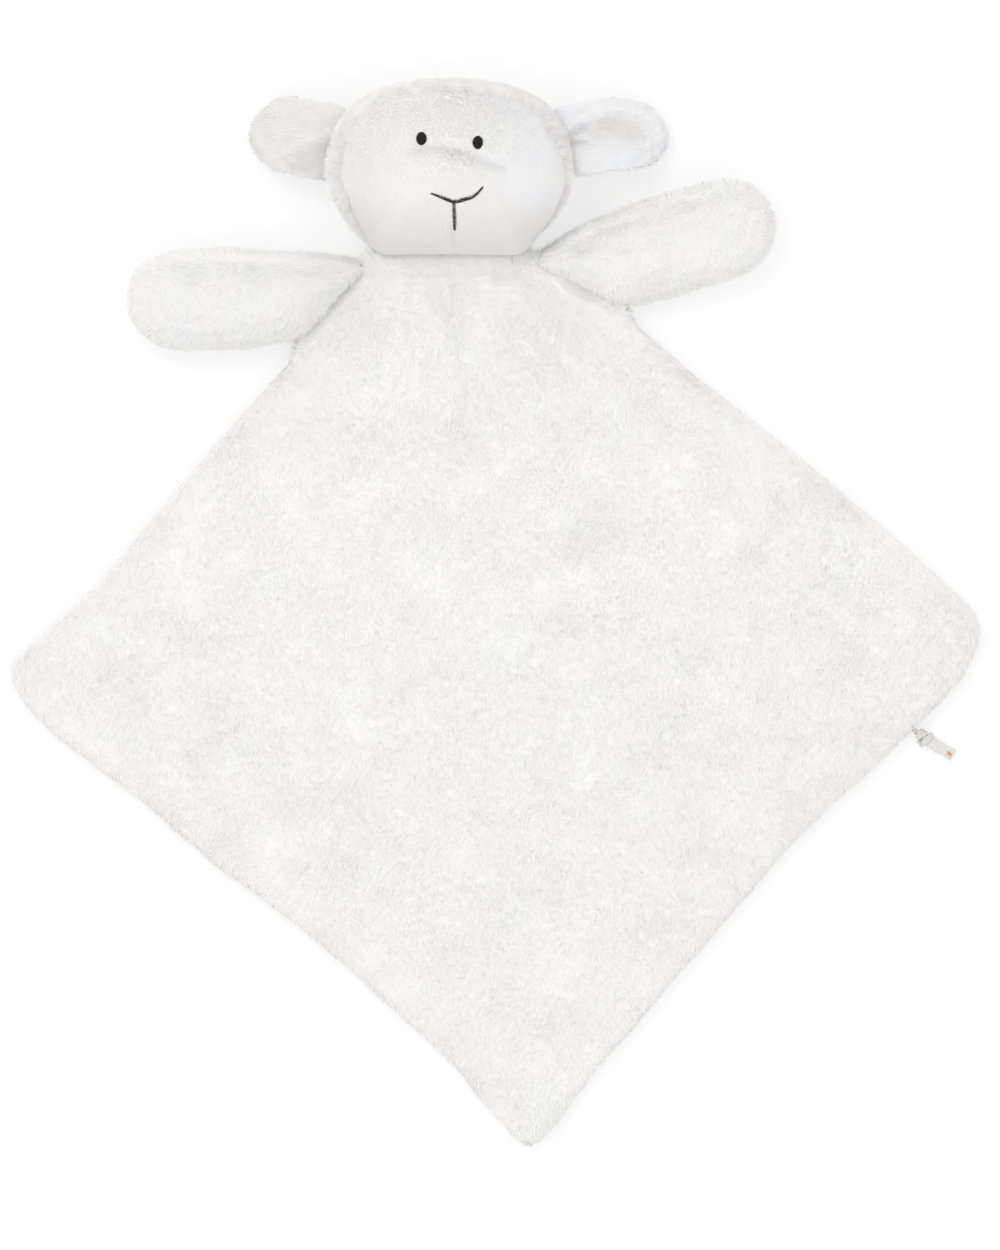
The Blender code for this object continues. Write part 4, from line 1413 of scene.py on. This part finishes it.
def make_eye(side, surface, material):
    """Satin stitch: threads laid side by side across an oval, crowned in the middle."""
    low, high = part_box(f"{side}_eye")
    middle = [(low[0] + high[0]) / 2, (low[1] + high[1]) / 2 - eye_drop]
    half = [(high[axis] - low[axis]) / 2 * eye_fullness[axis] for axis in range(2)]
    pitch = 2 * half[1] / eye_threads
    lines = []
    for number in range(eye_threads):
        up = (number + 0.5) / eye_threads * 2 - 1
        reach = half[0] * math.sqrt(1 - up**2)
        line = []
        for across in np.linspace(-1, 1, 9):
            crown = math.sqrt(max(1 - up**2 - (across * reach / half[0]) ** 2, 0))
            lift = eye_crown * crown - (eye_tuck if abs(across) == 1 else 0)
            x = middle[0] + across * reach
            y = middle[1] + up * half[1] + eye_slant * across * pitch
            line.append(lifted(surface, x, y, lift))
        lines.append(line)
    eye = tubes(f"{side}_eye_satin", lines, pitch * eye_thread_share, 8, material)
    dressed(eye, "head", "black_thread", f"{side}_eye")


def make_mouth(surface, material):
    """Two lines of short slanted stitches, packed closely like a cord."""
    for name, node, path, slim in mouth_lines:
        points = resampled([(x, y, 0) for x, y in path], mouth_samples)[:, :2] * MM
        lengths = np.linalg.norm(np.diff(points, axis=0), axis=1)
        walked = np.concatenate([[0], np.cumsum(lengths)])
        count = round(walked[-1] / stitch_pitch)
        lines = []
        for number in range(count + 1):
            share = number / count
            stops = share * walked[-1] + np.array([0, -0.4, 0.4]) * MM
            stops = np.clip(stops, 0, walked[-1])
            at, before, after = [
                np.array([np.interp(stop, walked, points[:, i]) for i in range(2)]) for stop in stops
            ]
            along = unit(after - before)
            slant = unit(np.array([-along[1], along[0]]) + along * stitch_slant)
            to_end = float(smooth_step(min(share, 1 - share) / stitch_taper))
            half = mouth_thread / 2 * (slim + (1 - slim) * to_end)
            line = []
            for across in np.linspace(-1, 1, 5):
                x, y = at + slant * across * half
                line.append(lifted(surface, x, y, mouth_crown * (1 - across**2) - mouth_tuck))
            lines.append(line)
        stitches = tubes(f"{name}_satin", lines, stitch_pitch * stitch_share, 6, material)
        dressed(stitches, "head", "black_thread", node)


# Ribbon


def band(name, path, side, widths, crumple, material):
    """A thin ribbon swept along a path. side is the direction across it."""
    path = np.array(path) * MM
    across = unit(np.array(side, float))
    top = unit(np.cross(across, unit(np.gradient(path, axis=0))))
    rows = []
    for number, (place, up, width) in enumerate(zip(path, top, widths)):
        ring = []
        for face in (1, -1):
            for share in np.linspace(-1, 1, ribbon_columns + 1) * face:
                fold = sum(s * math.sin(share * p + number * d) for s, p, d in ribbon_waves)
                lift = fold * crumple + face * ribbon_half
                ring.append(place + across * share * width / 2 * MM + up * lift * MM)
        rows.append(ring)
    ends = [tuple(np.mean(row, axis=0)) for row in (rows[0], rows[-1])]
    obj = new_object(name, grid_mesh(name, rows, *ends))
    obj.data.materials.append(material)
    return obj


def resampled(path, count):
    """The path as evenly spaced points, with its corners rounded."""
    points = np.array(path, float)
    walked = np.concatenate([[0], np.cumsum(np.linalg.norm(np.diff(points, axis=0), axis=1))])
    stations = np.linspace(0, walked[-1], count)
    line = np.stack([np.interp(stations, walked, points[:, i]) for i in range(3)], axis=1)
    for _ in range(3):
        line[1:-1] = (line[:-2] + 2 * line[1:-1] + line[2:]) / 4
    return line


def wrap(middle, bearing, radius, turns, drift, start, count):
    """A coil round an axis that lies level, as a path and the direction across it."""
    axis = np.array([math.cos(bearing), math.sin(bearing), 0.0])
    level = np.array([-axis[1], axis[0], 0.0])
    path = []
    for share in np.linspace(0, 1, count):
        angle = start + share * turns * math.tau
        round_it = level * math.cos(angle) * radius[0] + np.array(UP) * math.sin(angle) * radius[1]
        path.append(np.array(middle) + round_it + axis * drift * (share - 0.5))
    return path, axis


def frayed_ends(tail):
    """Short loose threads that stray from the tail's end."""
    ahead = unit(tail[-1] - tail[-4])
    across = unit(np.array(tail_side))
    places = np.array([(number * 1.7, 2.3, 0.4) for number in range(fray_threads)])
    strays = zip(*[noise_field(places, 1, seed) for seed in fray_seeds])
    lines = []
    for number, (longer, sideways, upwards) in enumerate(strays):
        share = number / (fray_threads - 1) * 2 - 1
        start = tail[-1] + across * share * fray_half_width - ahead * fray_tuck
        ending = ahead * (fray_reach + fray_stray * abs(longer))
        bend = np.array([fray_stray * sideways, fray_stray * upwards, fray_lift * longer])
        lines.append([start, start + ending * 0.5 + bend * 0.3, start + ending + bend])
    return lines


def make_ribbon(finishes):
    """The ribbon tag: a gathered root, a knot of two turns, and a short flat tail, frayed."""
    cloth = finishes["ribbon"]
    root = resampled(root_path, len(root_widths))
    core = resampled(core_path, 8)
    tail = resampled(tail_path, len(tail_widths))
    pieces = [
        band("ribbon_root", root, root_side, root_widths, root_crumple, cloth),
        tubes("ribbon_knot_core", [core * MM], core_radius * MM, 14, cloth),
    ]
    for name, coil, width, crumple in knot_turns:
        path, axis = wrap(*coil)
        pieces.append(band(name, path, axis, [width] * len(path), crumple, cloth))
    pieces.append(band("ribbon_tail", tail, tail_side, tail_widths, tail_crumple, cloth))
    loose = (
        ("ribbon_fray", frayed_ends(tail), fray_radius, 5, cloth),
        ("ribbon_fleck", fleck_lines[:2], fleck_radius, 6, finishes["peach"]),
        ("ribbon_dark_knot", fleck_lines[2:], fleck_knot_radius, 6, finishes["brown"]),
    )
    for name, lines, radius, sides, material in loose:
        lines = [resampled(line, loose_points) * MM for line in lines]
        pieces.append(tubes(name, lines, radius * MM, sides, material))
    dressed(pieces[0], "ribbon", "white_ribbon", "ribbon_tag")
    for piece in pieces[1:]:
        dressed(piece, "ribbon", "white_ribbon")


def main():
    make_table()
    make_light()
    make_camera()
    tree = pile_tree()
    finishes = make_finishes()
    make_blanket(finishes, tree)
    surface = make_head(finishes, tree)
    for side in ("left", "right"):
        make_arm(side, finishes, tree)
        make_ear(side, finishes, tree)
        make_eye(side, surface, finishes["thread"])
    make_mouth(surface, finishes["thread"])
    make_ribbon(finishes)


main()
